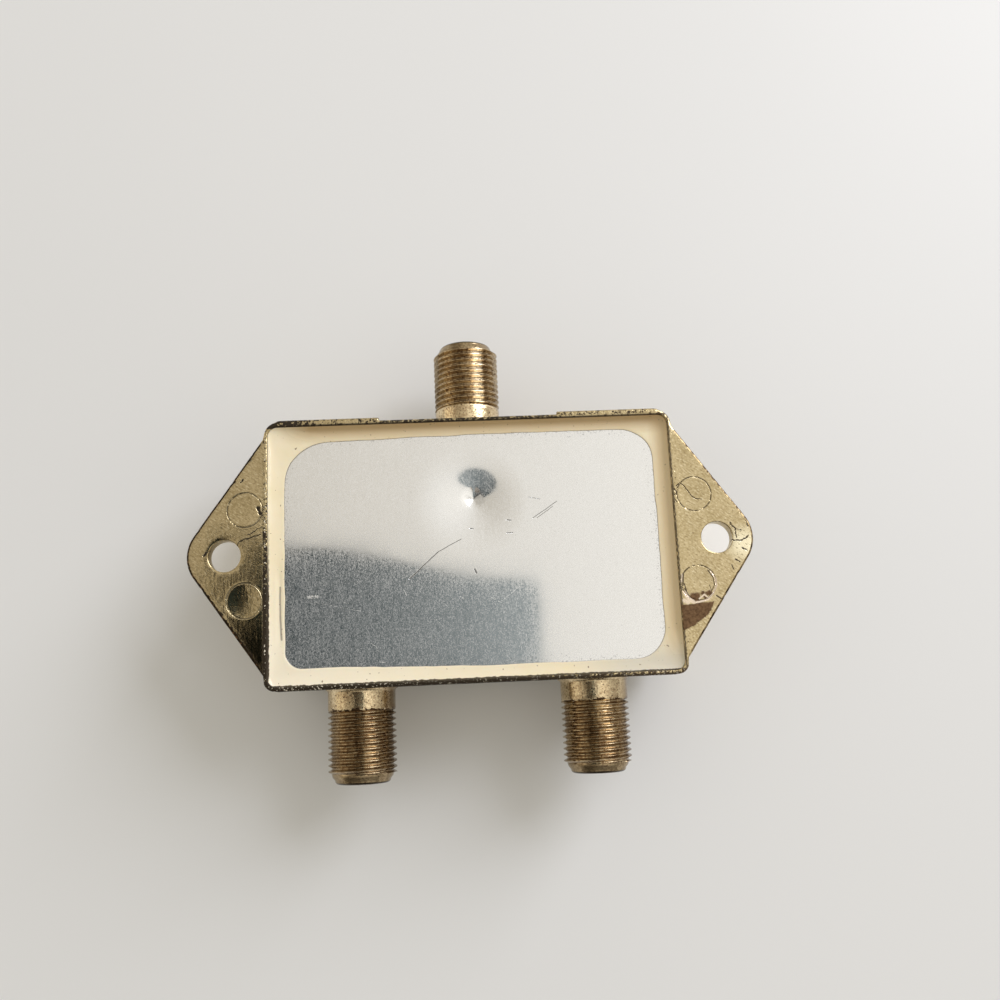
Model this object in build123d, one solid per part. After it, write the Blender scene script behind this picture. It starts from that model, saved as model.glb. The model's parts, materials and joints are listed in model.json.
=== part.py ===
from build123d import *
import os
from math import cos, radians, sin, sqrt, tan

# Coaxial A/B switch box: a shallow die-cast zinc box with three threaded F ports cast
# on it, closed at the back by a sealed aluminium plate. A slide switch behind the front
# wall joins the common port to port A or to port B.
# Millimetres. The origin is the centre of the back plane, midway between the ear holes.
# +Z points out of the back, +Y to the common port and +X to port A. The front faces -Z.

# Box casting
box_width = 56.5
box_height = 36.4
box_depth = 16.0
box_corner_radius = 2.0
front_edge_radius = 0.8
draft_angle = 1.0
wall = 1.6
cavity_corner_radius = 1.2

# Rim round the open back, and the seat of the cover inside it
rim_wall = 0.55
rim_corner_radius = 1.3
seat_depth = 1.6

# Raised lands on the side of the common port
land_rise = 0.4
land_inner_x = 12.4
land_depth = 13.0

# Mounting ears
ear_thickness = 1.9
ear_hole_spacing = 66.8
ear_hole_radius = 2.15
ear_tip_radius = 5.05
ear_edge_angle = 55.5
ejector_mark_radius = 2.4
ejector_mark_depth = 0.1
ejector_mark_x = 30.7
ejector_mark_y = 6.15

# Threaded ports, 3/8-32
port_spacing = 32.3
port_axis_depth = 7.75
port_length = 12.65
port_blank_radius = 4.65
thread_radius = 4.7
thread_pitch = 0.794
thread_depth = 0.42
thread_flat = 0.1
thread_start = 2.95
thread_end = 11.25
nose_start_radius = 4.2
nose_end_radius = 3.9
nose_edge_radius = 0.7
port_bore_radius = 3.0
mouth_radius = 2.6
mouth_lip = 1.0

# Insulators, guides and contacts in the ports
insulator_clearance = 0.04
pin_bore_radius = 0.6
guide_length = 2.0
guide_hole_length = 1.0
guide_funnel_radius = 2.0
flange_radius = 3.8
flange_thickness = 1.0
contact_radius = 1.1
contact_bore_depth = 6.0
contact_slit = 0.3
contact_length = 8.6
tail_radius = 0.5
tail_reach = 2.4

# Rear cover and its sealing bead
cover_thickness = 0.5
cover_clearance = 0.1
dent_radius = 3.2
dent_depth = 0.35
dent_x = -0.2
dent_y = 6.3
bead_width_x = 2.2
bead_width_y = 1.75
bead_rim_gap = 0.15
bead_lip = 0.12
bead_corner_radii = (5.0, 4.0, 3.5, 1.5)

# Front plate
front_plate_width = 50.0
front_plate_height = 30.0
front_plate_corner_radius = 1.5
front_plate_thickness = 0.5
front_plate_clearance = 0.1

# Slide switch: frame, base and terminals
frame_length = 35.0
frame_width = 11.0
frame_sheet = 0.6
frame_wall_length = 23.0
frame_wall_height = 5.2
clinch_width = 2.0
clinch_x = 8.0
clinch_lap = 0.8
clinch_clearance = 0.05
base_thickness = 1.2
terminal_pitch = 4.5
terminal_sheet = 0.5
terminal_neck = 1.6
terminal_head = 3.0
terminal_head_thickness = 0.4
lug_width = 2.0
lug_height = 3.8
lug_hole_radius = 0.5
lug_hole_drop = 1.2

# Slider with its knob, contact bridge and detent
knob_length = 6.0
knob_width = 3.4
knob_reach = 3.0
knob_edge_radius = 0.4
knob_clearance = 0.2
grip_groove = 0.4
grip_pitch = 1.4
slider_length = 12.0
slide_gap = 0.1
bridge_sheet = 0.3
bridge_width = 2.4
bridge_bump = 0.4
bridge_gap = 0.08
bridge_pocket = 0.15
ball_radius = 0.9
ball_clearance = 0.06
detent_hole_radius = 0.6
spring_wire_radius = 0.15
spring_radius = 0.6
spring_pitch = 0.76

# Screws that hold the switch to the front wall
screw_spacing = 28.6
screw_shank_radius = 1.1
screw_hole_radius = 1.3
screw_thread_clearance = 0.04
screw_length = 4.0
screw_head_radius = 2.0
screw_head_height = 1.3
screw_slot_width = 0.5
screw_slot_depth = 0.6
screw_collar_radius = 1.8
screw_collar_height = 0.8

# Leads from the ports to the switch
lead_radius = 0.35
lead_run = 4.2
lead_rise_y = 5.0
lead_bend_radius = 1.6

# Rib between the compartments of ports A and B
divider_thickness = 1.2
divider_gap = 2.0

# How far a cutter runs past the face that it cuts
past = 1.0

# Heights that several pieces share
front_inner_z = wall - box_depth
seat_z = -seat_depth
cover_z = seat_z + cover_thickness
frame_face_z = front_inner_z + frame_sheet
frame_top_z = frame_face_z + frame_wall_height
base_top_z = frame_top_z + base_thickness
head_z = frame_top_z - terminal_head_thickness
lug_top_z = base_top_z + lug_height
lug_hole_z = lug_top_z - lug_hole_drop
bridge_top_z = head_z - bridge_gap - bridge_bump
bridge_z = bridge_top_z - bridge_sheet
slider_top_z = bridge_z + bridge_pocket
slider_z = frame_face_z + slide_gap
ball_z = (slider_z + slider_top_z) / 2

# Widths that several pieces share
cavity_width = box_width - 2 * wall
cavity_height = box_height - 2 * wall
pocket_width = box_width - 2 * rim_wall
pocket_height = box_height - 2 * rim_wall
frame_inner_y = frame_width / 2 - frame_sheet
slot_length = knob_length + terminal_pitch + 2 * knob_clearance
slot_width = knob_width + 2 * knob_clearance
slider_x = terminal_pitch / 2
guide_inner = port_length - mouth_lip - guide_length
ball_y = frame_inner_y - ball_radius - ball_clearance

# Each port stands on its own plane, with local Z along the port and out of the box
port_planes = {
    "common": Plane((0, box_height / 2, -port_axis_depth), (1, 0, 0), (0, 1, 0)),
    "a": Plane((port_spacing / 2, -box_height / 2, -port_axis_depth), (1, 0, 0), (0, -1, 0)),
    "b": Plane((-port_spacing / 2, -box_height / 2, -port_axis_depth), (1, 0, 0), (0, -1, 0)),
}
terminal_places = {"common": 0.0, "a": terminal_pitch, "b": -terminal_pitch}


def block(x_span, y_span, z_span):
    """A box given by its lowest and highest value along each axis."""
    spans = (x_span, y_span, z_span)
    middle = [(low + high) / 2 for low, high in spans]
    size = [high - low for low, high in spans]
    return Pos(*middle) * Box(*size)


def plate(width, height, corner, z_low, z_high):
    """A flat plate with rounded corners, centred on the box."""
    outline = Pos(0, 0, z_low) * RectangleRounded(width, height, corner)
    return extrude(outline, z_high - z_low, dir=(0, 0, 1))


def upright(x, y, radius, z_low, z_high):
    """A round pin or hole along Z."""
    return Pos(x, y, (z_low + z_high) / 2) * Cylinder(radius, z_high - z_low)


def turned(*points):
    """A body turned about its own Z axis, from (radius, height) points of half its outline."""
    outline = Polyline(*[(radius, 0, height) for radius, height in points], close=True)
    return revolve(make_face(outline), Axis.Z)


def drafted_block(width, height, corner, depth):
    """A block that hangs from the back plane and narrows towards the front by the draft."""
    hanging = Plane((0, 0, 0), (1, 0, 0), (0, 0, -1))
    return extrude(hanging * RectangleRounded(width, height, corner), depth, taper=draft_angle)


def box_body():
    body = drafted_block(box_width, box_height, box_corner_radius, box_depth)
    front_edges = body.faces().sort_by(Axis.Z)[0].edges()
    return fillet(front_edges, front_edge_radius)


def land(side):
    """One raised land along the back half of the common port's side."""
    outer_x = box_width / 2 - box_corner_radius
    width = outer_x - land_inner_x
    tall = wall / 2 + land_rise
    hanging = Plane((side * (outer_x + land_inner_x) / 2, 0, 0), (1, 0, 0), (0, 0, -1))
    middle_y = box_height / 2 + land_rise - tall / 2
    outline = hanging * Pos(0, -middle_y) * Rectangle(width, tall)
    return extrude(outline, land_depth, taper=draft_angle)


def ear(side):
    """A pointed ear whose edges run tangent to the round tip about its hole."""
    angle = radians(ear_edge_angle)
    hole_x = ear_hole_spacing / 2
    touch_x = hole_x + ear_tip_radius * sin(angle)
    touch_y = ear_tip_radius * cos(angle)
    root_x = box_width / 2 - wall / 2
    root_y = touch_y + (touch_x - root_x) * tan(angle)
    edges = Line((root_x, -root_y), (touch_x, -touch_y)) + ThreePointArc(
        (touch_x, -touch_y), (hole_x + ear_tip_radius, 0), (touch_x, touch_y)
    )
    edges += Polyline((touch_x, touch_y), (root_x, root_y), (root_x, -root_y))
    solid = extrude(make_face(edges), ear_thickness, dir=(0, 0, -1))
    return solid if side > 0 else mirror(solid, Plane.YZ)


def port_barrel():
    """A cast spigot with a cut thread and a rounded plain nose."""
    points = [(0, -wall / 2), (port_blank_radius, -wall / 2), (port_blank_radius, thread_start)]
    flank = (thread_pitch - 2 * thread_flat) / 2
    root_radius = thread_radius - thread_depth
    for turn in range(round((thread_end - thread_start) / thread_pitch)):
        crest = thread_start + turn * thread_pitch
        points += [
            (root_radius, crest + thread_flat),
            (root_radius, crest + 2 * thread_flat),
            (thread_radius, crest + thread_flat + flank),
            (thread_radius, crest + 2 * thread_flat + flank),
        ]
    points += [(nose_start_radius, thread_end + thread_flat), (nose_end_radius, port_length), (0, port_length)]
    barrel = turned(*points)
    end_edge = barrel.edges().filter_by(GeomType.CIRCLE).sort_by(Axis.Z)[-1]
    return fillet(end_edge, nose_edge_radius)


def port_bore():
    """The stepped bore from the cavity to the mouth, with a lip that holds the guide."""
    wide = upright(0, 0, port_bore_radius, -wall - past, port_length - mouth_lip)
    return wide + upright(0, 0, mouth_radius, -wall, port_length + past)


def housing():
    body = box_body()
    for side in (-1, 1):
        body += land(side)
        body += ear(side)
    for place in port_planes.values():
        body += place * port_barrel()
    body -= plate(pocket_width, pocket_height, rim_corner_radius, seat_z, past)
    body -= plate(cavity_width, cavity_height, cavity_corner_radius, front_inner_z, past)
    divider_end = -frame_width / 2 - divider_gap
    body += block(
        (-divider_thickness / 2, divider_thickness / 2),
        (-cavity_height / 2 - wall / 2, divider_end),
        (front_inner_z - wall / 4, seat_z - wall / 2),
    )
    for place in port_planes.values():
        body -= place * port_bore()
    for side in (-1, 1):
        body -= upright(side * ear_hole_spacing / 2, 0, ear_hole_radius, -ear_thickness - past, past)
        for row in (-1, 1):
            mark = (side * ejector_mark_x, row * ejector_mark_y)
            body -= upright(*mark, ejector_mark_radius, -ejector_mark_depth, past)
        body -= upright(side * screw_spacing / 2, 0, screw_hole_radius, -box_depth - past, front_inner_z + past)
    recess_top_z = front_plate_thickness - box_depth
    body -= plate(
        front_plate_width + 2 * front_plate_clearance,
        front_plate_height + 2 * front_plate_clearance,
        front_plate_corner_radius + front_plate_clearance,
        -box_depth - past,
        recess_top_z,
    )
    body -= slot_cutter()
    return body


def slot_cutter():
    """The slot that the knob slides in, through the front wall, its plate and the frame."""
    return plate(slot_length, slot_width, knob_edge_radius, -box_depth - past, frame_face_z + past)


def rear_cover():
    """A pressed plate with a pointed dent in it, pushed in from outside."""
    width = pocket_width - 2 * cover_clearance
    height = pocket_height - 2 * cover_clearance
    sheet = plate(width, height, rim_corner_radius - cover_clearance, seat_z, cover_z)
    dent_cone = turned((0, 0), (dent_radius, 0), (0, -dent_depth))
    bulge = Pos(dent_x, dent_y, seat_z) * dent_cone
    hollow = Pos(dent_x, dent_y, cover_z) * dent_cone
    return sheet + bulge - hollow


def bead_outline(grow_x, grow_y, z):
    """The inner edge of the bead, grown outwards by two amounts, as a face at a height."""
    half_x = pocket_width / 2 - bead_width_x + grow_x
    half_y = pocket_height / 2 - bead_width_y + grow_y
    sketch = Rectangle(2 * half_x, 2 * half_y)
    corners = ((-1, 1), (1, 1), (1, -1), (-1, -1))
    for (side_x, side_y), radius in zip(corners, bead_corner_radii):
        corner_point = Vector(side_x * half_x, side_y * half_y)
        vertex = sketch.vertices().sort_by_distance(corner_point)[0]
        sketch = fillet(vertex, radius)
    return Pos(0, 0, z) * sketch


def rear_seal():
    """A bead of sealant that fills the corner between the rim and the cover."""
    bead = plate(pocket_width, pocket_height, rim_corner_radius, cover_z, -bead_rim_gap)
    lip_z = cover_z + bead_lip
    bead -= extrude(bead_outline(0, 0, cover_z), bead_lip, dir=(0, 0, 1))
    slope = loft([
        bead_outline(0, 0, lip_z),
        bead_outline(bead_width_x - 2 * bead_lip, bead_width_y - 2 * bead_lip, -bead_rim_gap),
    ])
    return bead - slope


def front_plate():
    sheet = plate(
        front_plate_width, front_plate_height, front_plate_corner_radius,
        -box_depth, front_plate_thickness - box_depth,
    )
    for side in (-1, 1):
        sheet -= upright(side * screw_spacing / 2, 0, screw_hole_radius, -box_depth - past, -box_depth + wall)
    return sheet - slot_cutter()


def port_guide():
    """A plastic disc behind the mouth's lip, with a funnel that leads the plug's pin in."""
    outer = port_bore_radius - insulator_clearance
    front = guide_inner + guide_length
    return turned(
        (pin_bore_radius, guide_inner),
        (outer, guide_inner),
        (outer, front),
        (guide_funnel_radius, front),
        (pin_bore_radius, guide_inner + guide_hole_length),
    )


def port_insulator():
    """A flanged plastic sleeve pushed in from the cavity, round the contact."""
    outer = port_bore_radius - insulator_clearance
    contact_hole = contact_radius + insulator_clearance
    tail_hole = tail_radius + insulator_clearance
    step = guide_inner - contact_length
    return turned(
        (tail_hole, -wall - flange_thickness),
        (flange_radius, -wall - flange_thickness),
        (flange_radius, -wall),
        (outer, -wall),
        (outer, guide_inner),
        (contact_hole, guide_inner),
        (contact_hole, step),
        (tail_hole, step),
    )


def port_contact():
    """A slit socket for the plug's pin, with a solder tail into the box."""
    step = guide_inner - contact_length
    bore_end = guide_inner - contact_bore_depth
    tail_end = -wall - flange_thickness - tail_reach
    contact = turned(
        (0, tail_end),
        (tail_radius, tail_end),
        (tail_radius, step),
        (contact_radius, step),
        (contact_radius, guide_inner),
        (pin_bore_radius, guide_inner),
        (pin_bore_radius, bore_end),
        (0, bore_end),
    )
    slit_depth = contact_bore_depth - contact_radius
    slit = Pos(0, 0, guide_inner - slit_depth / 2) * Box(contact_slit, 2 * contact_radius + past, slit_depth)
    return contact - slit


def switch_frame():
    """A bent steel channel with clinched tabs and a tapped collar at each end."""
    half = frame_wall_length / 2
    frame = plate(frame_length, frame_width, knob_edge_radius, front_inner_z, frame_face_z)
    for side in (-1, 1):
        outer_y = side * frame_width / 2
        wall_y = sorted((side * frame_inner_y, outer_y))
        frame += block((-half, half), wall_y, (front_inner_z, frame_top_z))
        for end in (-1, 1):
            tab_x = (end * clinch_x - clinch_width / 2, end * clinch_x + clinch_width / 2)
            frame += block(tab_x, wall_y, (front_inner_z, base_top_z + frame_sheet))
            lap_y = sorted((side * (frame_inner_y - clinch_lap), outer_y))
            frame += block(tab_x, lap_y, (base_top_z, base_top_z + frame_sheet))
            hole = Pos(end * slider_x, outer_y, ball_z) * Rot(90, 0, 0) * Cylinder(detent_hole_radius, 3 * frame_sheet)
            frame -= hole
        screw_x = side * screw_spacing / 2
        frame += upright(screw_x, 0, screw_collar_radius, front_inner_z, frame_face_z + screw_collar_height)
        tapped = screw_shank_radius + screw_thread_clearance
        frame -= upright(screw_x, 0, tapped, front_inner_z - past, frame_face_z + screw_collar_height + past)
    return frame - slot_cutter()


def switch_base():
    """A laminate board notched for the frame's tabs and slotted for the terminals."""
    half = frame_wall_length / 2
    board = block((-half, half), (-frame_width / 2, frame_width / 2), (frame_top_z, base_top_z))
    notch_half = clinch_width / 2 + clinch_clearance
    for side in (-1, 1):
        notch_y = sorted((side * (frame_inner_y - clinch_clearance), side * frame_width))
        for end in (-1, 1):
            notch_x = (end * clinch_x - notch_half, end * clinch_x + notch_half)
            board -= block(notch_x, notch_y, (frame_top_z, base_top_z))
    for x in terminal_places.values():
        board -= terminal_neck_block(x)
    return board


def terminal_neck_block(x):
    half_x = terminal_neck / 2
    half_y = terminal_sheet / 2
    return block((x - half_x, x + half_x), (-half_y, half_y), (frame_top_z, base_top_z))


def terminal(x):
    """A strip headed under the board, with a solder lug that stands above it."""
    head_half = terminal_head / 2
    half_y = terminal_sheet / 2
    head = block((x - head_half, x + head_half), (-head_half, head_half), (head_z, frame_top_z))
    lug = block((x - lug_width / 2, x + lug_width / 2), (-half_y, half_y), (base_top_z, lug_top_z))
    hole = Pos(x, 0, (lug_hole_z + lug_top_z) / 2) * Rot(90, 0, 0) * Cylinder(lug_hole_radius, lug_width)
    return head + terminal_neck_block(x) + lug - hole


def switch_knob():
    """The slider block in the frame with the knob that reaches out of the front."""
    slider_half_y = frame_inner_y - slide_gap
    x_span = (slider_x - slider_length / 2, slider_x + slider_length / 2)
    slider = block(x_span, (-slider_half_y, slider_half_y), (slider_z, slider_top_z))
    tip_z = -box_depth - knob_reach
    stem = Pos(slider_x, 0) * plate(knob_length, knob_width, knob_edge_radius, tip_z, slider_z)
    stem = fillet(stem.faces().sort_by(Axis.Z)[0].edges(), knob_edge_radius / 2)
    for step in (-1, 0, 1):
        x = slider_x + step * grip_pitch
        groove_x = (x - grip_groove / 2, x + grip_groove / 2)
        stem -= block(groove_x, (-knob_width, knob_width), (tip_z - past, tip_z + grip_groove))
    bridge_half = (terminal_pitch + bridge_width) / 2
    pocket = block(
        (slider_x - bridge_half, slider_x + bridge_half),
        (-bridge_width / 2, bridge_width / 2),
        (bridge_z, slider_top_z),
    )
    tunnel = Pos(slider_x, 0, ball_z) * Rot(90, 0, 0) * Cylinder(ball_radius + ball_clearance, 2 * frame_width)
    return slider + stem - pocket - tunnel


def contact_bridge():
    """A sprung strip that joins the common terminal to its neighbour by two bumps."""
    half = (terminal_pitch + bridge_width) / 2
    strip = block(
        (slider_x - half, slider_x + half), (-bridge_width / 2, bridge_width / 2), (bridge_z, bridge_top_z)
    )
    for side in (-1, 1):
        x = slider_x + side * terminal_pitch / 2
        bump = Pos(x, 0, bridge_top_z) * Rot(90, 0, 0) * Cylinder(bridge_bump, bridge_width)
        strip += bump & block((x - 1, x + 1), (-bridge_width, bridge_width), (bridge_z, head_z))
    return strip


def detent_balls():
    balls = [Pos(slider_x, side * ball_y, ball_z) * Sphere(ball_radius) for side in (-1, 1)]
    return Compound(balls)


def detent_spring():
    """A coil spring across the slider that pushes the two balls apart."""
    touch = sqrt((ball_radius + spring_wire_radius) ** 2 - spring_radius**2)
    half = ball_y - touch - ball_clearance
    coil = Helix(pitch=spring_pitch, height=2 * half, radius=spring_radius)
    section = Plane(coil @ 0, z_dir=coil % 0) * Circle(spring_wire_radius)
    wound = sweep(section, path=coil, is_frenet=True)
    return Pos(slider_x, half, ball_z) * Rot(90, 0, 0) * wound


def switch_screws():
    """Two slotted screws through the front plate and wall into the frame's collars."""
    screws = []
    head_z_low = -box_depth - screw_head_height
    for side in (-1, 1):
        x = side * screw_spacing / 2
        head = upright(x, 0, screw_head_radius, head_z_low, -box_depth)
        head = fillet(head.faces().sort_by(Axis.Z)[0].edges(), screw_head_height / 2)
        slot_y = (-screw_head_radius - past, screw_head_radius + past)
        slot_x = (x - screw_slot_width / 2, x + screw_slot_width / 2)
        head -= block(slot_x, slot_y, (head_z_low - past, head_z_low + screw_slot_depth))
        screws.append(head + upright(x, 0, screw_shank_radius, -box_depth, -box_depth + screw_length))
    return Compound(screws)


def lead(name):
    """A bare wire from a port's tail to the side of its terminal's lug."""
    place = port_planes[name]
    outward = place.z_dir.Y
    tail_y = outward * (box_height / 2 - wall - flange_thickness - tail_reach)
    solder_z = base_top_z + lug_height / 2
    lug_x = terminal_places[name]
    path = FilletPolyline(
        (place.origin.X, tail_y, -port_axis_depth),
        (place.origin.X, tail_y - outward * lead_run, -port_axis_depth),
        (lug_x, outward * lead_rise_y, solder_z),
        (lug_x, outward * terminal_sheet / 2, solder_z),
        radius=lead_bend_radius,
    )
    section = Plane(path @ 0, z_dir=path % 0) * Circle(lead_radius)
    return sweep(section, path=path)


def all_nodes():
    nodes = {
        "housing": housing(),
        "rear_cover": rear_cover(),
        "rear_seal": rear_seal(),
        "front_plate": front_plate(),
        "switch_frame": switch_frame(),
        "switch_base": switch_base(),
        "switch_knob": switch_knob(),
        "contact_bridge": contact_bridge(),
        "detent_balls": detent_balls(),
        "detent_spring": detent_spring(),
        "switch_screws": switch_screws(),
    }
    for name, place in port_planes.items():
        nodes[name + "_port_guide"] = place * port_guide()
        nodes[name + "_port_insulator"] = place * port_insulator()
        nodes[name + "_port_contact"] = place * port_contact()
        nodes[name + "_terminal"] = terminal(terminal_places[name])
        nodes[name + "_lead"] = lead(name)
    return nodes


os.makedirs("parts", exist_ok=True)
for node_name, shape in all_nodes().items():
    export_step(shape, "parts/" + node_name + ".step")
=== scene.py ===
import json
from math import atan2, cos, exp, hypot, pi, radians, sin, tan

import bmesh
import bpy
from mathutils import Matrix, Vector, geometry, noise


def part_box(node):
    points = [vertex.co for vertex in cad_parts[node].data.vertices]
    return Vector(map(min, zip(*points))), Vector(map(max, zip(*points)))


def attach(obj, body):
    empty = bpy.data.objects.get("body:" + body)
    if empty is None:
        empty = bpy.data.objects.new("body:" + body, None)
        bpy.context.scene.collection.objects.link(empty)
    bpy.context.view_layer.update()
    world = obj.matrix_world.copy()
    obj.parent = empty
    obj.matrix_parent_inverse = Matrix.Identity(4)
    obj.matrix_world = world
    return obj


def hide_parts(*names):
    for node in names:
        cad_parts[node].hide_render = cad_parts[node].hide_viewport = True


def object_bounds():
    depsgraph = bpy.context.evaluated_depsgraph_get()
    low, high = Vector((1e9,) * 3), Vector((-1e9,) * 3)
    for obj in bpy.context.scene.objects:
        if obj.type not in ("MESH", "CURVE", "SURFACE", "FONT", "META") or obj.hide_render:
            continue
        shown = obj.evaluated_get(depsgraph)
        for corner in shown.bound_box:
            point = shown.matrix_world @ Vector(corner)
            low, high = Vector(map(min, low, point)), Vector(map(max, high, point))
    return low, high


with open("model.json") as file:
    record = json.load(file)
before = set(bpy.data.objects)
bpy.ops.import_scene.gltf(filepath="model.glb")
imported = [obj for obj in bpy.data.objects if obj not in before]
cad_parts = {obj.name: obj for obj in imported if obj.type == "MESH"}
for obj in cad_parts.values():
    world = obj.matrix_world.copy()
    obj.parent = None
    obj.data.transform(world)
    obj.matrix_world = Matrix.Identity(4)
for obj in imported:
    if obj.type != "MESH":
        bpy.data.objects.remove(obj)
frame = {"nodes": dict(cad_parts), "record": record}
cad_box = [list(corner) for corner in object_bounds()]
nodes = frame["nodes"]

# Camera. It looks down on the back of the box from a hand's breadth away, held a little
# below the middle and tilted towards the common port. All the values are in millimetres
# in the frame of the box, so that they compare with a ruler laid on it.
MM = 0.001
camera_place = Vector((-1.606, -20.167, 134.103))
camera_target = Vector((3.919, 6.257, 0.0))
camera_roll = radians(2.591)
camera_lens = 36.0
camera_sensor = 36.0
camera_near = 0.005


def in_scene(name, data):
    """A new object in the scene, with this data."""
    made = bpy.data.objects.new(name, data)
    bpy.context.scene.collection.objects.link(made)
    return made


forward = (camera_target - camera_place).normalized()
level_up = (Vector((0, 1, 0)) - forward * forward.y).normalized()
level_right = forward.cross(level_up)
camera_up = level_up * cos(camera_roll) + level_right * sin(camera_roll)
camera_right = forward.cross(camera_up)
lens = bpy.data.cameras.new("camera")
lens.lens = camera_lens
lens.sensor_width = camera_sensor
lens.clip_start = camera_near
camera = in_scene("camera", lens)
axes = Matrix((camera_right, camera_up, -forward)).transposed().to_4x4()
camera.matrix_world = Matrix.Translation(camera_place * MM) @ axes
bpy.context.scene.camera = camera
bpy.context.scene.view_settings.view_transform = "Standard"


# Table. A smooth pale table top, which the knob touches, wide enough that no view of the
# box sees past it. Two pale spots are painted light on it: the light that falls through
# the ear holes, painted into its colour.
table_z = cad_box[0][2] / MM
table_half = 3000.0
table_corners = ((-1, -1), (1, -1), (1, 1), (-1, 1))
table_colour = (0.80, 0.795, 0.785)
table_shade = (0.77, 0.765, 0.755)
painted_hole_light = (0.99, 0.98, 0.965)
painted_light_places = ((38.4, 2.8), (-38.0, 2.8))
painted_light_radius = 2.6
painted_light_fade = 3.5


def make_piece(name, points, faces):
    """A mesh from points in millimetres."""
    mesh = bpy.data.meshes.new(name)
    mesh.from_pydata([Vector(point) * MM for point in points], [], faces)
    mesh.update()
    return in_scene(name, mesh)


def put(socket, value):
    """A number, a place, a colour or a pattern on one input of a shader node."""
    if isinstance(value, Pattern):
        socket.id_data.links.new(value.socket, socket)
    else:
        socket.default_value = (*value, 1.0) if socket.type == "RGBA" else value


def node(tree, kind, values, output=0, **settings):
    """One output of a new shader node with these settings, and with values on its inputs."""
    made = tree.nodes.new("ShaderNode" + kind)
    for setting, value in settings.items():
        setattr(made, setting, value)
    for key, value in values.items():
        put(made.inputs[key], value)
    return Pattern(made.outputs[output])


def arithmetic(operation, turned=False):
    """A method of Pattern that combines it with a number or with another pattern."""
    def combined(first, second=0.0):
        values = {0: second, 1: first} if turned else {0: first, 1: second}
        return node(first.tree, "Math", values, operation=operation)
    return combined


class Pattern:
    """A number, place or colour that varies over a surface. Patterns combine as numbers do;
    a | b is the larger and a & b the smaller of two, and a comparison is 1 where it is true."""

    __add__ = __radd__ = arithmetic("ADD")
    __mul__ = __rmul__ = arithmetic("MULTIPLY")
    __sub__ = arithmetic("SUBTRACT")
    __rsub__ = arithmetic("SUBTRACT", turned=True)
    __pow__ = arithmetic("POWER")
    __abs__ = arithmetic("ABSOLUTE")
    __lt__ = arithmetic("LESS_THAN")
    __gt__ = arithmetic("GREATER_THAN")
    __or__ = arithmetic("MAXIMUM")
    __and__ = arithmetic("MINIMUM")
    sign = arithmetic("SIGN")

    def __init__(self, socket):
        self.socket = socket
        self.tree = socket.id_data
        self.parts = None

    def along(self, axis):
        """One coordinate of a place."""
        if not self.parts:
            self.parts = node(self.tree, "SeparateXYZ", {0: self}).socket.node.outputs
        return Pattern(self.parts[axis])

    x = property(lambda self: self.along(0))
    y = property(lambda self: self.along(1))
    z = property(lambda self: self.along(2))

    def span(self, low, high, to_low=0.0, to_high=1.0):
        """The stretch from low to high, spread over another stretch and held at its ends."""
        values = {0: self, 1: low, 2: high, 3: to_low, 4: to_high}
        return node(self.tree, "MapRange", values)

    def between(self, low, high):
        """One number where this is 0, and another where it is 1."""
        return low + self * (high - low)

    def blend(self, below, above):
        """The colour below, covered by the colour above where this is 1."""
        return node(self.tree, "Mix", {0: self, 6: below, 7: above}, 2, data_type="RGBA")

    def vector(self, operation, other):
        """A place combined with another or scaled; a distance or a product is a plain number."""
        slot = "Scale" if operation == "SCALE" else 1
        output = "Value" if operation in ("DISTANCE", "DOT_PRODUCT") else 0
        return node(self.tree, "VectorMath", {0: self, slot: other}, output, operation=operation)

    def speckle(self, per_mm, detail=2.0, rough=0.5, stretch=None):
        """Noise at a place with so many lumps a millimetre, stretched along the axes if given."""
        place = self.vector("MULTIPLY", stretch) if stretch else self
        values = {"Vector": place, "Scale": per_mm, "Detail": detail, "Roughness": rough}
        return node(self.tree, "TexNoise", values, "Fac")

    def relief(self, depth_mm, below=None):
        """Bump of a real depth for a height from 0 to 1, laid over another bump."""
        values = {"Height": self, "Strength": 1.0, "Distance": depth_mm * MM}
        if below:
            values["Normal"] = below
        return node(self.tree, "Bump", values)


def millimetres(tree):
    """The place on the piece in millimetres, for every pattern of one material."""
    return node(tree, "TexCoord", {}, "Object").vector("SCALE", 1 / MM)


def dress(material, **looks):
    """Puts values and patterns on the inputs of a material's shader, named with _ for a space."""
    shader = material.node_tree.nodes["Principled BSDF"]
    for name, value in looks.items():
        put(shader.inputs[name.replace("_", " ")], value)


def new_material(name, **plain):
    """A material with one Principled shader and its plain values, and the place on its piece."""
    material = bpy.data.materials.new(name)
    material.use_nodes = True
    dress(material, **plain)
    return material, millimetres(material.node_tree)


def finish_with(piece, material):
    """Gives a piece its one material."""
    piece.data.materials.clear()
    piece.data.materials.append(material)


table_points = [(x * table_half, y * table_half, table_z) for x, y in table_corners]
table = make_piece("table", table_points, [(0, 1, 2, 3)])
table_paint, place = new_material("table_paint", Roughness=0.55)
colour = place.speckle(0.012, 1.0).blend(table_colour, table_shade)
# Painted light: a pale spot on the table under each ear hole.
for x, y in painted_light_places:
    hole_light = place.vector("DISTANCE", (x, y, table_z)).span(painted_light_radius, painted_light_fade, 1.0, 0.0)
    colour = hole_light.blend(colour, painted_hole_light)
dress(table_paint, Base_Color=colour)
finish_with(table, table_paint)
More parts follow.
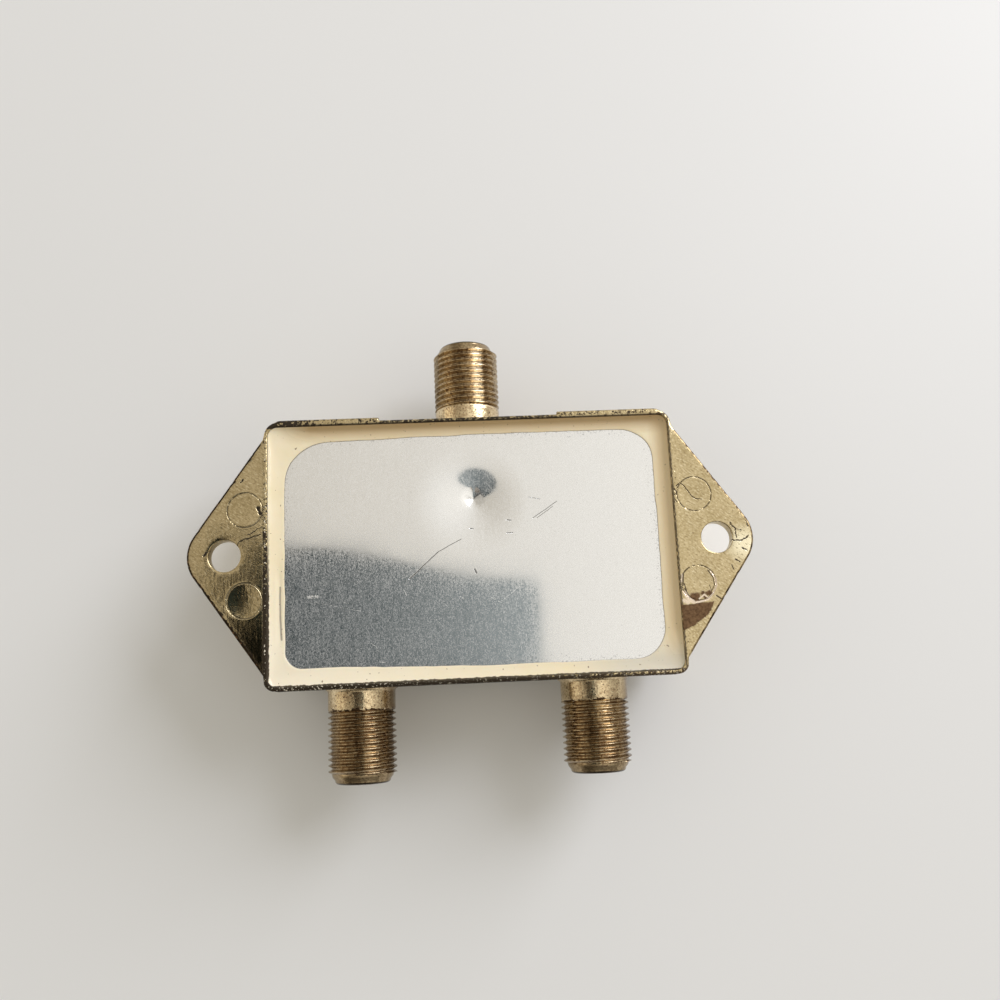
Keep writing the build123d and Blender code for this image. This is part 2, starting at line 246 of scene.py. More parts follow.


# Room and window. A pale room with a brighter ceiling to the right, and one tall soft
# window at the upper right. A dark board hangs over the lower left, where a hand and a
# phone would be, and only the bright metal sees it. It is no lamp, yet it glows with
# painted shades, darker to the left, and so paints the reflections in the metal.
room_low = (0.70, 0.66, 0.58)
room_top = (0.95, 0.912, 0.84)
room_left_tint = (1.0, 0.955, 0.88)
room_right_tint = (1.0, 1.0, 1.0)
room_fill = (0.605, 0.58, 0.52)
room_seen = (0.78, 0.78, 0.775)
window_bearing = radians(42.0)
window_rise = radians(33.0)
window_distance = 0.90
window_width = 0.50
window_height = 0.62
window_power = 5.45
window_tint = (0.96, 0.99, 1.09)
board_z = 134.0
board_left = (0.021, 0.034, 0.036)
board_right = (0.28, 0.32, 0.322)
board_side_dark = (0.006, 0.006, 0.005)
board_side_pale = (0.18, 0.165, 0.14)
board_near_left = (0.055, 0.038, 0.025)
board_near_right = (0.42, 0.34, 0.26)
board_outline = (
    (-66, 25), (-48, 22.5), (-32, 21.2), (-18, 17.4), (0, 12.6), (19, 10.5), (19, -20),
    (16.5, -26), (16.5, -90), (-85, -90), (-85, -26), (-66, -14),
)

world = bpy.data.worlds.new("room")
world.use_nodes = True
bpy.context.scene.world = world
tree = world.node_tree
tree.nodes.clear()
look = node(tree, "TexCoord", {}, "Generated")
walls = look.z.span(-0.1, 0.9).blend(room_low, room_top)
tint = look.x.span(-0.28, 0.12).blend(room_left_tint, room_right_tint)
walls = node(tree, "Mix", {0: 1.0, 6: walls, 7: tint}, 2, data_type="RGBA", blend_type="MULTIPLY")
sideways = look.x.span(-0.45, 0.45, 0.48, 1.2) | look.x.span(-0.55, -0.9, 0.0, 1.1)
sideways = sideways * look.x.span(0.55, 0.9, 1.0, 0.62)
low_down = abs(look.x).span(0.4, 0.65)
by_depth = (look.y.span(-0.05, 0.25, 0.76, 1.25) - 1.0) * low_down + 1.0
towards_camera = look.y.span(-0.9, -0.45, 0.15, 1.0)
brightness = sideways * by_depth * towards_camera
mirrored_room = node(tree, "Background", {"Color": walls, "Strength": brightness})
filling_room = node(tree, "Background", {"Color": room_fill, "Strength": 1.0})
seen_room = node(tree, "Background", {"Color": room_seen, "Strength": 1.0})
glossy_ray = node(tree, "LightPath", {}, "Is Glossy Ray")
camera_ray = node(tree, "LightPath", {}, "Is Camera Ray")
lit_room = node(tree, "MixShader", {0: glossy_ray, 1: filling_room, 2: mirrored_room})
room = node(tree, "MixShader", {0: camera_ray, 1: lit_room, 2: seen_room})
put(tree.nodes.new("ShaderNodeOutputWorld").inputs["Surface"], room)

pane = bpy.data.lights.new("window", "AREA")
pane.shape = "RECTANGLE"
pane.size = window_width
pane.size_y = window_height
pane.energy = window_power
pane.color = window_tint
window = in_scene("window", pane)
level = cos(window_rise)
towards = Vector((cos(window_bearing) * level, sin(window_bearing) * level, sin(window_rise)))
facing = towards.to_track_quat("Z", "Y").to_matrix().to_4x4()
window.matrix_world = Matrix.Translation(towards * window_distance) @ facing

board = make_piece("board", [(x, y, board_z) for x, y in board_outline], [tuple(range(len(board_outline)))])
board_glow = bpy.data.materials.new("board_glow")
board_glow.use_nodes = True
tree = board_glow.node_tree
tree.nodes.clear()
place = millimetres(tree)
# The board's painted glow: darker to the left, with other shades near the box and at its far left side.
rightward = place.x.span(-58.0, 21.0) ** 2.0
shade = rightward.blend(board_left, board_right)
near_shade = (rightward ** 0.6).blend(board_near_left, board_near_right)
near = abs(place.x - 1.0).span(8.0, 11.0) * place.y.span(-14.0, -20.0) * place.y.span(-58.0, -48.0)
shade = near.blend(shade, near_shade)
side_shade = place.y.span(3.0, 21.0).blend(board_side_dark, board_side_pale)
shade = place.x.span(-52.0, -55.0).blend(shade, side_shade)
glow = node(tree, "Emission", {"Color": shade, "Strength": 1.0})
put(tree.nodes.new("ShaderNodeOutputMaterial").inputs["Surface"], glow)
finish_with(board, board_glow)
board.visible_camera = False
board.visible_diffuse = False
board.visible_shadow = False
board.visible_transmission = False


# Rim and ears of the casting. One flat cast flange: the thin rim round the open back, the
# lands on the side of the common port, and two pointed ears, each with its screw hole and
# two marks left by the ejector pins. Zinc, gold plated, with the surface as it was cast.
ear_holes = next(m for m in frame["record"]["mounts"] if m["name"] == "ear_holes")["dims"]
hole_x = ear_holes["spacing_x_mm"] / 2
hole_radius = ear_holes["hole_r_mm"]
box_width = 56.5
box_height = 36.4
side_x = box_width / 2
side_y = box_height / 2
box_corner = 2.0
low_corner = 1.5
land_rise = 0.4
land_inner = 12.4
ear_tip_radius = 5.05
ear_edge_angle = radians(55.5)
ear_root_blend = 0.25
ear_thickness = 1.9
ear_drop = 0.05
rim_wall = 0.55
pocket_corner = 1.3
pocket_floor = -1.55
flange_edge = 0.30
inner_round = 0.14
hole_edge = 0.14
under_bevel = 0.15
mark_radius = 2.4
mark_x = 30.7
mark_y = 6.15
mark_shift = 0.38
mark_groove = 0.045
mark_rings = (0.5, 1.0, 1.5, 1.9, 2.15, 2.28, 2.36, 2.44, 2.52, 2.6, 2.72)
outline_step = 0.3
skin_step = 0.36
hole_points = 72
root_rows = (-0.3, -0.15, 0.0, 0.13, 0.26)
root_spots = 107
edge_bends = [radians(a) for a in (0, 22, 45, 68, 90)]


def around(centre, radius, angle):
    return Vector((centre[0] + radius * cos(angle), centre[1] + radius * sin(angle)))


def circle(centre, radius, count):
    return [around(centre, radius, 2 * pi * k / count) for k in range(count)]


def arc(centre, radius, start, end, step=outline_step, count=None):
    """Points along an arc, its end left out."""
    count = count or max(3, round(abs(end - start) * radius / step))
    return [around(centre, radius, start + (end - start) * k / count) for k in range(count)]


def straight(start, end, step=outline_step, count=None):
    """Points along a line, its end left out."""
    start, end = Vector(start), Vector(end)
    count = count or max(1, round((end - start).length / step))
    return [start.lerp(end, k / count) for k in range(count)]


def round_rectangle(width, height, radii, step=outline_step, bend=None, runs=(None, None)):
    """A rectangle's outline, anticlockwise from the lower right, with its four corner radii.
    It has a point every step, or so many on each bend and on each upright and level run."""
    corners = []
    for number, (x, y) in enumerate(((1, -1), (1, 1), (-1, 1), (-1, -1))):
        radius = radii[number]
        centre = (x * (width / 2 - radius), y * (height / 2 - radius))
        corners.append((centre, radius, (number - 1) * pi / 2))
    points = []
    for number, (centre, radius, start) in enumerate(corners):
        points += arc(centre, radius, start, start + pi / 2, step, bend)
        leave = around(centre, radius, start + pi / 2)
        points += straight(leave, around(*corners[(number + 1) % 4]), step, runs[number % 2])
    return points


def box_outline(inset, corner, step=outline_step):
    """The outline of the box, set in on every side."""
    return round_rectangle(box_width - 2 * inset, box_height - 2 * inset, [corner] * 4, step)


def shifted(points, inwards):
    """A closed anticlockwise outline moved inwards along its own normals."""
    moved = []
    for number, point in enumerate(points):
        run = points[(number + 1) % len(points)] - points[number - 1]
        moved.append(point + Vector((-run.y, run.x)).normalized() * inwards)
    return moved


def within(point, outline):
    """Whether a point lies inside a closed outline."""
    hit = False
    last = outline[-1]
    for here in outline:
        if (here.y > point.y) != (last.y > point.y):
            if point.x < (last.x - here.x) * (point.y - here.y) / (last.y - here.y) + here.x:
                hit = not hit
        last = here
    return hit


def at_height(points, z):
    return [(p.x, p.y, z) for p in points]


def draped(points, height):
    return [(p.x, p.y, height(p.x, p.y)) for p in points]


def seen_flat(points):
    return [Vector(point[:2]) for point in points]


def flange_outline():
    """The right half from the bottom to the top, then the same mirrored and reversed."""
    touch = around((hole_x, 0), ear_tip_radius, pi / 2 - ear_edge_angle)
    root_y = touch.y + (touch.x - side_x) * tan(ear_edge_angle)
    turn = pi / 2 - ear_edge_angle
    land_y = side_y + land_rise
    half = straight((0, -side_y), (side_x - low_corner, -side_y))
    half += arc((side_x - low_corner, -side_y + low_corner), low_corner, -pi / 2, -0.12)
    half += straight((side_x, -root_y + ear_root_blend), (touch.x, -touch.y))
    half += arc((hole_x, 0), ear_tip_radius, -turn, turn)
    half += straight(touch, (side_x, root_y - ear_root_blend))
    half += arc((side_x - box_corner, side_y - box_corner + land_rise / 2), box_corner, 0.12, pi / 2 - 0.25)
    half += straight((side_x - box_corner, land_y), (land_inner, land_y))
    half += [Vector((land_inner, land_y)), Vector((land_inner - 0.04, side_y + land_rise / 2))]
    half += straight((land_inner - 0.12, side_y), (0, side_y))
    mirrored = [Vector((-point.x, point.y)) for point in reversed(half[1:])]
    return half + [Vector((0, side_y))] + mirrored


def cast_wander(x, y, seed, size, depth=1.0):
    """A smooth random depth, the same on every run."""
    return noise.noise(Vector((x / size, y / size, seed))) * depth


def smooth_step(value, low, high):
    t = min(1.0, max(0.0, (value - low) / (high - low)))
    return t * t * (3 - 2 * t)


def bell(value, width):
    return exp(-((value / width) ** 2))


def mark_centre(side, row):
    """Where an ejector mark lies; the lower right one is a little nearer to the box."""
    nearer = mark_shift if (side, row) == (1, -1) else 0.0
    return (side * (mark_x - nearer), row * mark_y)


def nearest_mark(x, y):
    """The side and row of the nearest ejector mark, and how far its centre is."""
    side, row = 1 if x > 0 else -1, 1 if y > 0 else -1
    centre = mark_centre(side, row)
    return side, row, hypot(x - centre[0], y - centre[1])


def mark_depth(x, y):
    """An ejector pin leaves a shallow disc inside a fine raised ring with a groove beside it."""
    side, row, r = nearest_mark(x, y)
    if r > mark_radius + 0.5:
        return 0.0
    dish = 0.10 if (side, row) == (-1, -1) else 0.03
    ridge = 0.022 if side < 0 else 0.007
    hollow = dish * (1.15 - (r / mark_radius) ** 2 * 0.9)
    depth = hollow * (1 - smooth_step(r, mark_radius - 0.12, mark_radius - 0.02))
    depth += mark_groove * bell(r - mark_radius + 0.02, 0.05)
    return depth - ridge * bell(r - mark_radius - 0.11, 0.06)


def top_z(x, y):
    """The cast top of the rim and the ears, never above the back plane."""
    depth = 0.02 + cast_wander(x, y, 1.0, 3.1, 0.02) + cast_wander(x, y, 2.0, 0.7, 0.005)
    ear = smooth_step(abs(x), side_x - 0.3, side_x + 1.3)
    depth += ear * cast_wander(x, y, 3.0, 6.0, 0.03)
    if x > 0:
        depth += ear * ear_drop
    depth += mark_depth(x, y)
    near_hole = hypot(abs(x) - hole_x, y) - hole_radius
    depth += 0.02 * bell(near_hole, 0.25) * (0.6 + cast_wander(x, y, 4.0, 0.9))
    return -max(0.0, depth)


class Solid:
    """Points and faces that are gathered for one piece."""

    def __init__(self):
        self.points = []
        self.faces = []

    def add(self, points):
        first = len(self.points)
        self.points += [tuple(point) for point in points]
        return first

    def bridge(self, rings, inward=False):
        """Closed rings with as many points each, joined one after the other."""
        firsts = [self.add(ring) for ring in rings]
        count = len(rings[0])
        for low, high in zip(firsts, firsts[1:]):
            for k in range(count):
                n = (k + 1) % count
                face = (low + k, low + n, high + n, high + k)
                self.faces.append(tuple(reversed(face)) if inward else face)
        return firsts

    def fill(self, outline, holes, height, extra=(), up=True):
        """A triangulated flat patch inside an outline and outside its holes."""
        flat, edges = [], []
        for loop in [outline, *holes]:
            first = len(flat)
            flat += seen_flat(loop)
            edges += [(first + k, first + (k + 1) % len(loop)) for k in range(len(loop))]
        flat += seen_flat(extra)
        made, _, triangles, *_ = geometry.delaunay_2d_cdt(flat, edges, [], 0, 1e-5)
        first = self.add(draped(made, height))
        for face in triangles:
            middle = sum((made[k] for k in face), Vector((0, 0))) / len(face)
            if within(middle, outline) and not any(within(middle, hole) for hole in holes):
                numbers = [first + k for k in face]
                turned = (made[face[1]] - made[face[0]]).cross(made[face[2]] - made[face[0]]) > 0
                self.faces.append(tuple(numbers if turned == up else reversed(numbers)))

    def piece(self, name, crease=40.0):
        """The finished object: shared points merged, smooth except at creases this sharp."""
        made = make_piece(name, self.points, self.faces)
        shape = bmesh.new()
        shape.from_mesh(made.data)
        bmesh.ops.remove_doubles(shape, verts=shape.verts, dist=2e-7)
        bmesh.ops.dissolve_degenerate(shape, dist=1e-8, edges=shape.edges)
        bmesh.ops.recalc_face_normals(shape, faces=shape.faces)
        shape.to_mesh(made.data)
        shape.free()
        made.data.shade_smooth()
        made.data.set_sharp_from_angle(angle=radians(crease))
        return made


def ragged(points, seed, amount):
    """An outline with the small nicks and waves of a cast edge, a little inside the true one."""
    moved = []
    for point, inner in zip(points, shifted(points, 1.0)):
        nick = max(0.0, cast_wander(point.x, point.y, seed + 3, 0.8) - 0.25) * 3 * amount
        wave = (cast_wander(point.x, point.y, seed, 2.5) + 1) * 0.5 * amount
        moved.append(point + (inner - point) * (nick + wave))
    return moved


def rounded_rings(edge_at, radius):
    """Rings over a rounded edge, from the cast top to the wall; edge_at gives a set-back outline."""
    rings = []
    for bend in edge_bends:
        ring = edge_at(radius * (1 - sin(bend)))
        rings.append([(p.x, p.y, top_z(p.x, p.y) - radius * (1 - cos(bend))) for p in ring])
    return rings


outer_edge = ragged(flange_outline(), 11.0, 0.04)
inner_edge = ragged(box_outline(rim_wall, pocket_corner)[::-1], 17.0, 0.05)[::-1]

flange = Solid()
outer_rings = rounded_rings(lambda back: shifted(outer_edge, back), flange_edge)
outer_rings.append(at_height(outer_edge, -ear_thickness + under_bevel))
outer_rings.append(at_height(shifted(outer_edge, under_bevel), -ear_thickness))
flange.bridge(outer_rings, inward=True)
inner_rings = rounded_rings(lambda back: shifted(inner_edge, -back), inner_round)
inner_rings += [at_height(inner_edge, z) for z in (pocket_floor, -ear_thickness)]
flange.bridge(inner_rings)

hole_tops, hole_floors = [], []
for centre in ((-hole_x, 0), (hole_x, 0)):
    rings = rounded_rings(lambda back: circle(centre, hole_radius + back, hole_points), hole_edge)
    rings.append(at_height(circle(centre, hole_radius, hole_points), -ear_thickness))
    flange.bridge(rings)
    hole_tops.append(seen_flat(rings[0]))
    hole_floors.append(seen_flat(rings[-1]))

skin = []
columns = int((hole_x + ear_tip_radius) / skin_step)
rows = int(side_y / skin_step)
for column in range(-columns, columns + 1):
    for row in range(-rows, rows + 1):
        spot = Vector((column * skin_step + (row % 2) * skin_step / 2, row * skin_step))
        if abs(spot.x) > side_x + 0.4 and nearest_mark(spot.x, spot.y)[2] > mark_radius + 0.4:
            skin.append(spot)
for side in (-1, 1):
    for row in (-1, 1):
        for radius in mark_rings:
            skin += circle(mark_centre(side, row), radius, max(12, round(radius * 34)))
    for across in root_rows:
        beside = side * (side_x + across)
        skin += [Vector((beside, outline_step * (k - root_spots / 2))) for k in range(root_spots + 1)]
top_loop = seen_flat(outer_rings[0])
pocket_loop = seen_flat(inner_rings[0])
keep_in = shifted(top_loop, 0.16)
keep_out = shifted(pocket_loop, -0.1)
skin = [
    spot for spot in skin
    if within(spot, keep_in) and not within(spot, keep_out)
    and hypot(abs(spot.x) - hole_x, spot.y) > hole_radius + hole_edge + 0.12
]
flange.fill(top_loop, [pocket_loop, *hole_tops], top_z, skin)
flange.fill(seen_flat(outer_rings[-1]), [inner_edge, *hole_floors], lambda x, y: -ear_thickness, up=False)
rim_and_ears = flange.piece("rim_and_ears")

# The gold of the casting: a thin bright plating over a fine cast grain, with painted
# shade in the lower left, and a brown spot on the right ear where the plating has gone.
# Each line of a list below is the x and y of both its ends, and its width.
gold_pale = (0.63, 0.52, 0.315)
gold_deep = (0.46, 0.365, 0.195)
gold_stain = (0.16, 0.095, 0.05)
bare_brown = (0.185, 0.105, 0.05)
bare_dark = (0.095, 0.05, 0.022)
marks_and_shade_left = (0.02, 0.013, 0.008)
marks_and_shade_right = (0.06, 0.038, 0.02)
highlight_place = (37.0, -1.0, 0)
highlight_gold = (1.0, 0.92, 0.68)
dash_angle = radians(35.0)
dash_dark = (0.27, 0.195, 0.09)
dash_pale = (0.86, 0.76, 0.54)
ear_shade = (0.05, 0.037, 0.02)
highlight_pale = (0.84, 0.71, 0.57)
painted_glint_gold = (0.90, 0.82, 0.66)
ear_cracks = (
    (27.95, 7.0, 28.25, 6.5, 0.13), (28.0, 6.1, 28.35, 6.4, 0.12), (27.95, 5.7, 28.2, 5.1, 0.09),
    (35.3, 1.9, 36.0, 1.0, 0.15), (36.0, 1.0, 36.1, -0.2, 0.11), (37.6, 2.4, 37.8, 1.3, 0.10),
    (35.4, -0.5, 36.8, -0.6, 0.09), (36.8, -0.6, 37.7, 0.0, 0.10), (36.6, 3.9, 37.1, 3.2, 0.17),
    (36.7, -1.6, 37.3, -2.0, 0.11), (35.6, -3.2, 36.2, -3.5, 0.14), (36.1, 1.0, 36.9, 0.8, 0.06),
    (-28.6, 2.7, -31.2, 2.0, 0.10), (-28.4, 3.8, -30.3, 2.7, 0.08), (-31.2, 2.0, -32.1, 0.9, 0.08),
    (-36.1, 0.2, -35.7, 0.6, 0.22), (-30.6, 12.9, -30.2, 13.2, 0.5), (-30.9, 10.4, -31.3, 10.1, 0.16),
    (-32.2, 10.0, -32.0, 10.2, 0.14), (-28.9, 6.4, -28.6, 5.6, 0.3),
)
ear_scratch = (
    (28.3, 7.3, 28.9, 7.75, 0.07), (28.9, 7.75, 29.4, 7.3, 0.07), (29.4, 7.3, 29.9, 6.55, 0.08),
    (29.9, 6.55, 30.3, 5.9, 0.08), (30.3, 5.9, 30.8, 5.52, 0.09), (30.9, 5.45, 31.7, 5.3, 0.07),
)
flecks_right = (
    (29.35, -8.0, 29.95, -7.95, 0.62), (29.75, -8.5, 30.1, -8.6, 0.34), (30.7, -7.6, 30.85, -7.5, 0.34),
    (31.4, -7.65, 31.8, -7.6, 0.44), (30.95, -8.1, 31.05, -8.25, 0.20), (30.4, -8.75, 30.8, -8.65, 0.16),
)
# Pale arcs round the lower right ejector mark: a painted highlight on its ring.
highlight_arcs_right = (
    (28.3, -7.4, 28.75, -8.3, 0.30), (28.75, -8.3, 29.4, -8.75, 0.34), (28.2, -8.5, 28.7, -8.75, 0.36),
    (29.6, -8.85, 31.4, -8.5, 0.17), (31.4, -8.5, 32.2, -7.7, 0.15), (32.2, -7.7, 32.75, -6.6, 0.16),
    (32.75, -6.6, 32.7, -5.7, 0.18), (32.7, -5.7, 32.1, -4.7, 0.13), (30.3, -8.3, 31.0, -7.8, 0.14),
    (31.0, -7.8, 31.4, -8.2, 0.12), (28.15, -4.9, 28.0, -5.9, 0.12),
)
# Dark arcs inside the lower right mark's ring are painted shade in its groove; two more dark marks lie beside
# it.
ring_shade_and_marks_right = (
    (31.75, -4.5, 32.35, -5.5, 0.11), (32.35, -5.5, 32.5, -6.5, 0.09), (32.5, -6.5, 31.7, -7.95, 0.07),
    (31.8, -6.5, 32.0, -7.2, 0.06), (28.3, -4.9, 28.15, -6.4, 0.13), (28.35, -6.9, 28.9, -7.9, 0.10),
    (28.35, -6.2, 28.6, -7.2, 0.10), (32.6, -8.0, 33.2, -8.4, 0.12), (35.1, -3.9, 35.3, -4.5, 0.10),
)
brown_spot = (
    (27.7, -8.95), (27.7, -12.6), (28.6, -12.3), (30.2, -11.3), (31.6, -10.3), (32.4, -8.7), (31.6, -8.75),
)


def gold_plating(name, pale, deep, grain_mm, roughness, stain_from=0.62, pits_per_mm=2.1):
    """Thin gold plating over a cast or cut surface."""
    material, place = new_material(name, Metallic=1.0)
    patches = place.speckle(0.35, 4.0, 0.6)
    fine = place.speckle(2.8, 3.0, 0.65)
    tone = patches * 0.4 + fine * 0.6
    colour = tone.span(0.36, 0.60).blend(deep, pale)
    pits = place.speckle(pits_per_mm, 2.0, 0.55)
    colour = pits.span(stain_from, stain_from + 0.06).blend(colour, gold_stain)
    worn = fine.span(0.3, 0.7, roughness + 0.06, roughness - 0.03)
    normal = fine.relief(grain_mm, place.speckle(0.7).relief(0.005))
    dress(material, Base_Color=colour, Roughness=worn, Normal=normal)
    return material, place, colour, worn, normal


def flat_place(x, y):
    return node(x.tree, "CombineXYZ", {0: x, 1: y, 2: 0.0})


def wavering(place, size_mm, amount_mm):
    """The place, pushed about at random so that drawn edges look natural."""
    values = {"Vector": place, "Scale": 1 / size_mm, "Detail": 2.0}
    push = node(place.tree, "TexNoise", values, "Color").vector("SUBTRACT", (0.5, 0.5, 0.5))
    return place.vector("ADD", push.vector("SCALE", 2 * amount_mm))


def strokes(place, lines):
    """1 along lines seen from above and 0 beside them."""
    total = None
    for x, y, end_x, end_y, width in lines:
        run = Vector((end_x - x, end_y - y, 0))
        ahead = run.normalized()
        flat = place.vector("SUBTRACT", (x, y, 0)).vector("MULTIPLY", (1, 1, 0))
        reach = flat.vector("DOT_PRODUCT", ahead).span(0.0, run.length, 0.0, run.length)
        foot = node(place.tree, "VectorMath", {0: ahead, "Scale": reach}, operation="SCALE")
        line = flat.vector("DISTANCE", foot).span(width / 2, width, 1.0, 0.0)
        total = total | line if total else line
    return total


def patch(place, corners, soft):
    """1 inside a convex shape whose corners are given anticlockwise from above, 0 outside it."""
    depth = None
    for start, end in zip(corners, corners[1:] + corners[:1]):
        inner = Vector((start[1] - end[1], end[0] - start[0], 0)).normalized()
        reach = place.vector("SUBTRACT", (*start, 0)).vector("DOT_PRODUCT", inner)
        depth = depth & reach if depth else reach
    return depth.span(0.0, soft)


cast_gold, place, colour, worn, normal = gold_plating("cast_gold", gold_pale, gold_deep, 0.0025, 0.09, 0.72)
rough_place = wavering(place, 0.45, 0.24)
on_top = place.z.span(-1.0, -0.8)
lines = strokes(rough_place, ear_cracks)
curved = wavering(place, 1.2, 0.08)
lines = lines | strokes(curved, ear_scratch)
outward = abs(place.x)
upward = abs(place.y)
lower_right = (place.x > 0.0) * (place.y < 0.0)
by_mark = flat_place(outward + lower_right * mark_shift, upward)
from_mark = by_mark.vector("DISTANCE", (mark_x, mark_y, 0))
# A broken dark line along each mark's ring is painted shade in its groove.
ring_groove_shade = abs(from_mark - (mark_radius - 0.02)).span(0.03, 0.10, 1.0, 0.0)
ring_breaks = place.speckle(1.6).span(0.37, 0.47)
lines = (lines | ring_groove_shade * ring_breaks * 0.8) * on_top
flecks = strokes(rough_place, flecks_right)
worn_off = (patch(rough_place, brown_spot, 0.12) | flecks) * on_top

# Painted shade: dark lines in the corner at the ears' roots, along the top rim's inner edge
# and on the ears' edges, wider on the lower left. Dark flecks of dirt on the rim grow
# denser towards the left and the bottom, and this thickening is painted shade.
ragged_x = abs(rough_place.x)
root_shade_line = abs(ragged_x - (side_x - rim_wall + 0.14)).span(0.07, 0.16, 1.0, 0.0)
above_side = place.z.span(-0.6, -0.3)
on_right = place.x.span(0.0, 5.0)
root_shade_line = root_shade_line * above_side * on_right
from_top = abs(place.y - (side_y - rim_wall + 0.05))
top_edge_shade = from_top.span(0.07, 0.2, 1.0, 0.0) * place.z.span(-0.9, -0.6)
dark = lines | (root_shade_line | top_edge_shade) * 0.85
past_hole = outward - hole_x
to_side = past_hole * sin(ear_edge_angle) + upward * cos(ear_edge_angle)
to_tip = flat_place(outward, upward).vector("DISTANCE", (hole_x, 0, 0))
round_tip = past_hole * (1 / tan(ear_edge_angle)) > upward
from_edge = ear_tip_radius - round_tip.between(to_side, to_tip)
edge_reach = place.speckle(2.0, 3.0, 0.7).span(0.38, 0.62, 0.05, 0.40) * place.x.span(0.0, 5.0, 1.0, 0.7)
low_left = place.x.span(-20.0, -25.0) * place.y.span(-3.0, -10.0)
ear_edge_shade = (from_edge < edge_reach + low_left * 0.32) * (outward > side_x + 0.1)
dark = dark | ear_edge_shade * on_top
above = place.z.span(-0.75, -0.45)
on_rim = ragged_x.span(side_x + 0.02, side_x + 0.14, 1.0, 0.0) * above
rim_flecks = place.speckle(1.9, 3.0, 0.7)
low_side = place.y.span(-17.3, -17.6)
low_dirt_and_shade = place.x.span(-4.0, 20.0, 0.76, 0.53)
side_dirt_and_shade = on_right.between(place.y.span(8.0, -7.0, 0.42, 0.66), 0.36)
high_side = place.y.span(17.3, 17.6)
high_dirt_and_shade = outward.span(land_inner - 0.3, land_inner, 0.54, 0.45) + place.x.span(-20.0, -24.0, 0.0, 0.14)
side_dirt_and_shade = high_side.between(side_dirt_and_shade, high_dirt_and_shade)
dark = dark | (rim_flecks < low_side.between(side_dirt_and_shade, low_dirt_and_shade)) * on_rim
dark = dark | strokes(curved, ring_shade_and_marks_right) * on_top
# A painted shadow line along the bottom edge of the rim.
dark = dark | place.y.span(-17.92, -18.02) * above

# Painted glints on the rim, dashes and painted shade on the ears, a painted highlight on
# the right ear's tip, and then the colours one by one.
glint_spots = place.speckle(3.3, 2.0, 0.6).span(0.60, 0.64)
inner_left = place.x.span(-27.93, -27.85, 1.0, 0.0) * place.x.span(-28.12, -28.05)
low_glints = low_side * place.x.span(-6.0, -22.0, 0.35, 0.9)
painted_glints = glint_spots * (low_glints | inner_left) * on_rim
# A painted highlight on the right ear's tip.
painted_highlight = place.vector("DISTANCE", highlight_place).span(0.8, 3.0, 0.95, 0.0) * on_top
colour = painted_highlight.blend(colour, highlight_gold)
turned = {0: place, "Angle": dash_angle}
slanted = node(place.tree, "VectorRotate", turned, rotation_type="Z_AXIS")
dashes = slanted.speckle(1.0, 2.0, 0.6, stretch=(1.8, 5.0, 1.0))
flat_ear = on_top * (outward > side_x)
dark_dashes = dashes.span(0.44, 0.33, 0.0, 0.6) * flat_ear
pale_dashes = dashes.span(0.58, 0.68, 0.0, 0.65) * flat_ear
colour = pale_dashes.blend(dark_dashes.blend(colour, dash_dark), dash_pale)
# Painted shade on the lower part of the left ear.
low_shade = place.y.span(-8.6, -11.5) * place.x.span(-20.0, -25.0) * flat_ear * 0.72
colour = low_shade.blend(colour, ear_shade)
# The dark colour of the cracks and scratches, and of the painted shade gathered in dark.
colour = (dark * 0.97).blend(colour, place.x.span(5.0, 24.0).blend(marks_and_shade_left, marks_and_shade_right))
mottled = place.speckle(2.4, 3.0, 0.7).span(0.36, 0.62).blend(bare_dark, bare_brown)
colour = worn_off.blend(colour, mottled)
# The painted highlight round the lower right mark.
colour = (strokes(curved, highlight_arcs_right) * on_top * 0.9).blend(colour, highlight_pale)
dress(cast_gold, Base_Color=painted_glints.blend(colour, painted_glint_gold))
plated = 1.0 - ((worn_off | dark * 0.85) | painted_glints)
dress(cast_gold, Metallic=plated.span(0.0, 1.0, 0.2, 1.0))
dress(cast_gold, Specular_IOR_Level=plated.span(0.1, 0.6, 0.15, 0.5))
dress(cast_gold, Roughness=worn + (1.0 - plated) * 0.4)
normal = place.speckle(1.0, 3.0, 0.6, stretch=(2.6, 0.5, 1.0)).relief(0.010, normal)
normal = (1.0 - lines).relief(0.06, dashes.relief(0.008, normal))
even_rim = outward.span(side_x + 0.02, side_x + 0.14, 1.0, 0.0) * above
rim_lumps = (rim_flecks - 0.5) * even_rim
dress(cast_gold, Normal=rim_lumps.relief(0.06, normal))
finish_with(rim_and_ears, cast_gold)

# The ears' rounded edges take a near-black plating, gold-brown in patches on the right ear: painted shade
# along the edges.
painted_edge_shade, place, colour, *_ = gold_plating(
    "painted_edge_shade", (0.045, 0.03, 0.016), (0.016, 0.011, 0.007), 0.01, 0.3, 0.56, 2.6
)
edge_patches = place.speckle(1.3, 3.0, 0.7).span(0.42, 0.58)
edge_gold = edge_patches.blend((0.05, 0.03, 0.015), (0.34, 0.25, 0.13))
dress(painted_edge_shade, Base_Color=place.x.span(0.0, 5.0).blend(colour, edge_gold))
rim_and_ears.data.materials.append(painted_edge_shade)
for face in rim_and_ears.data.polygons:
    spot = face.center / MM
    off_mark = nearest_mark(spot.x, spot.y)[2] > mark_radius + 0.4
    off_hole = hypot(abs(spot.x) - hole_x, spot.y) > hole_radius + 0.5
    on_edge = abs(spot.x) > side_x + 0.35 and spot.z > -0.45 and face.normal.z < 0.985
    if on_edge and off_mark and off_hole:
        face.material_index = 1
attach(rim_and_ears, "box")


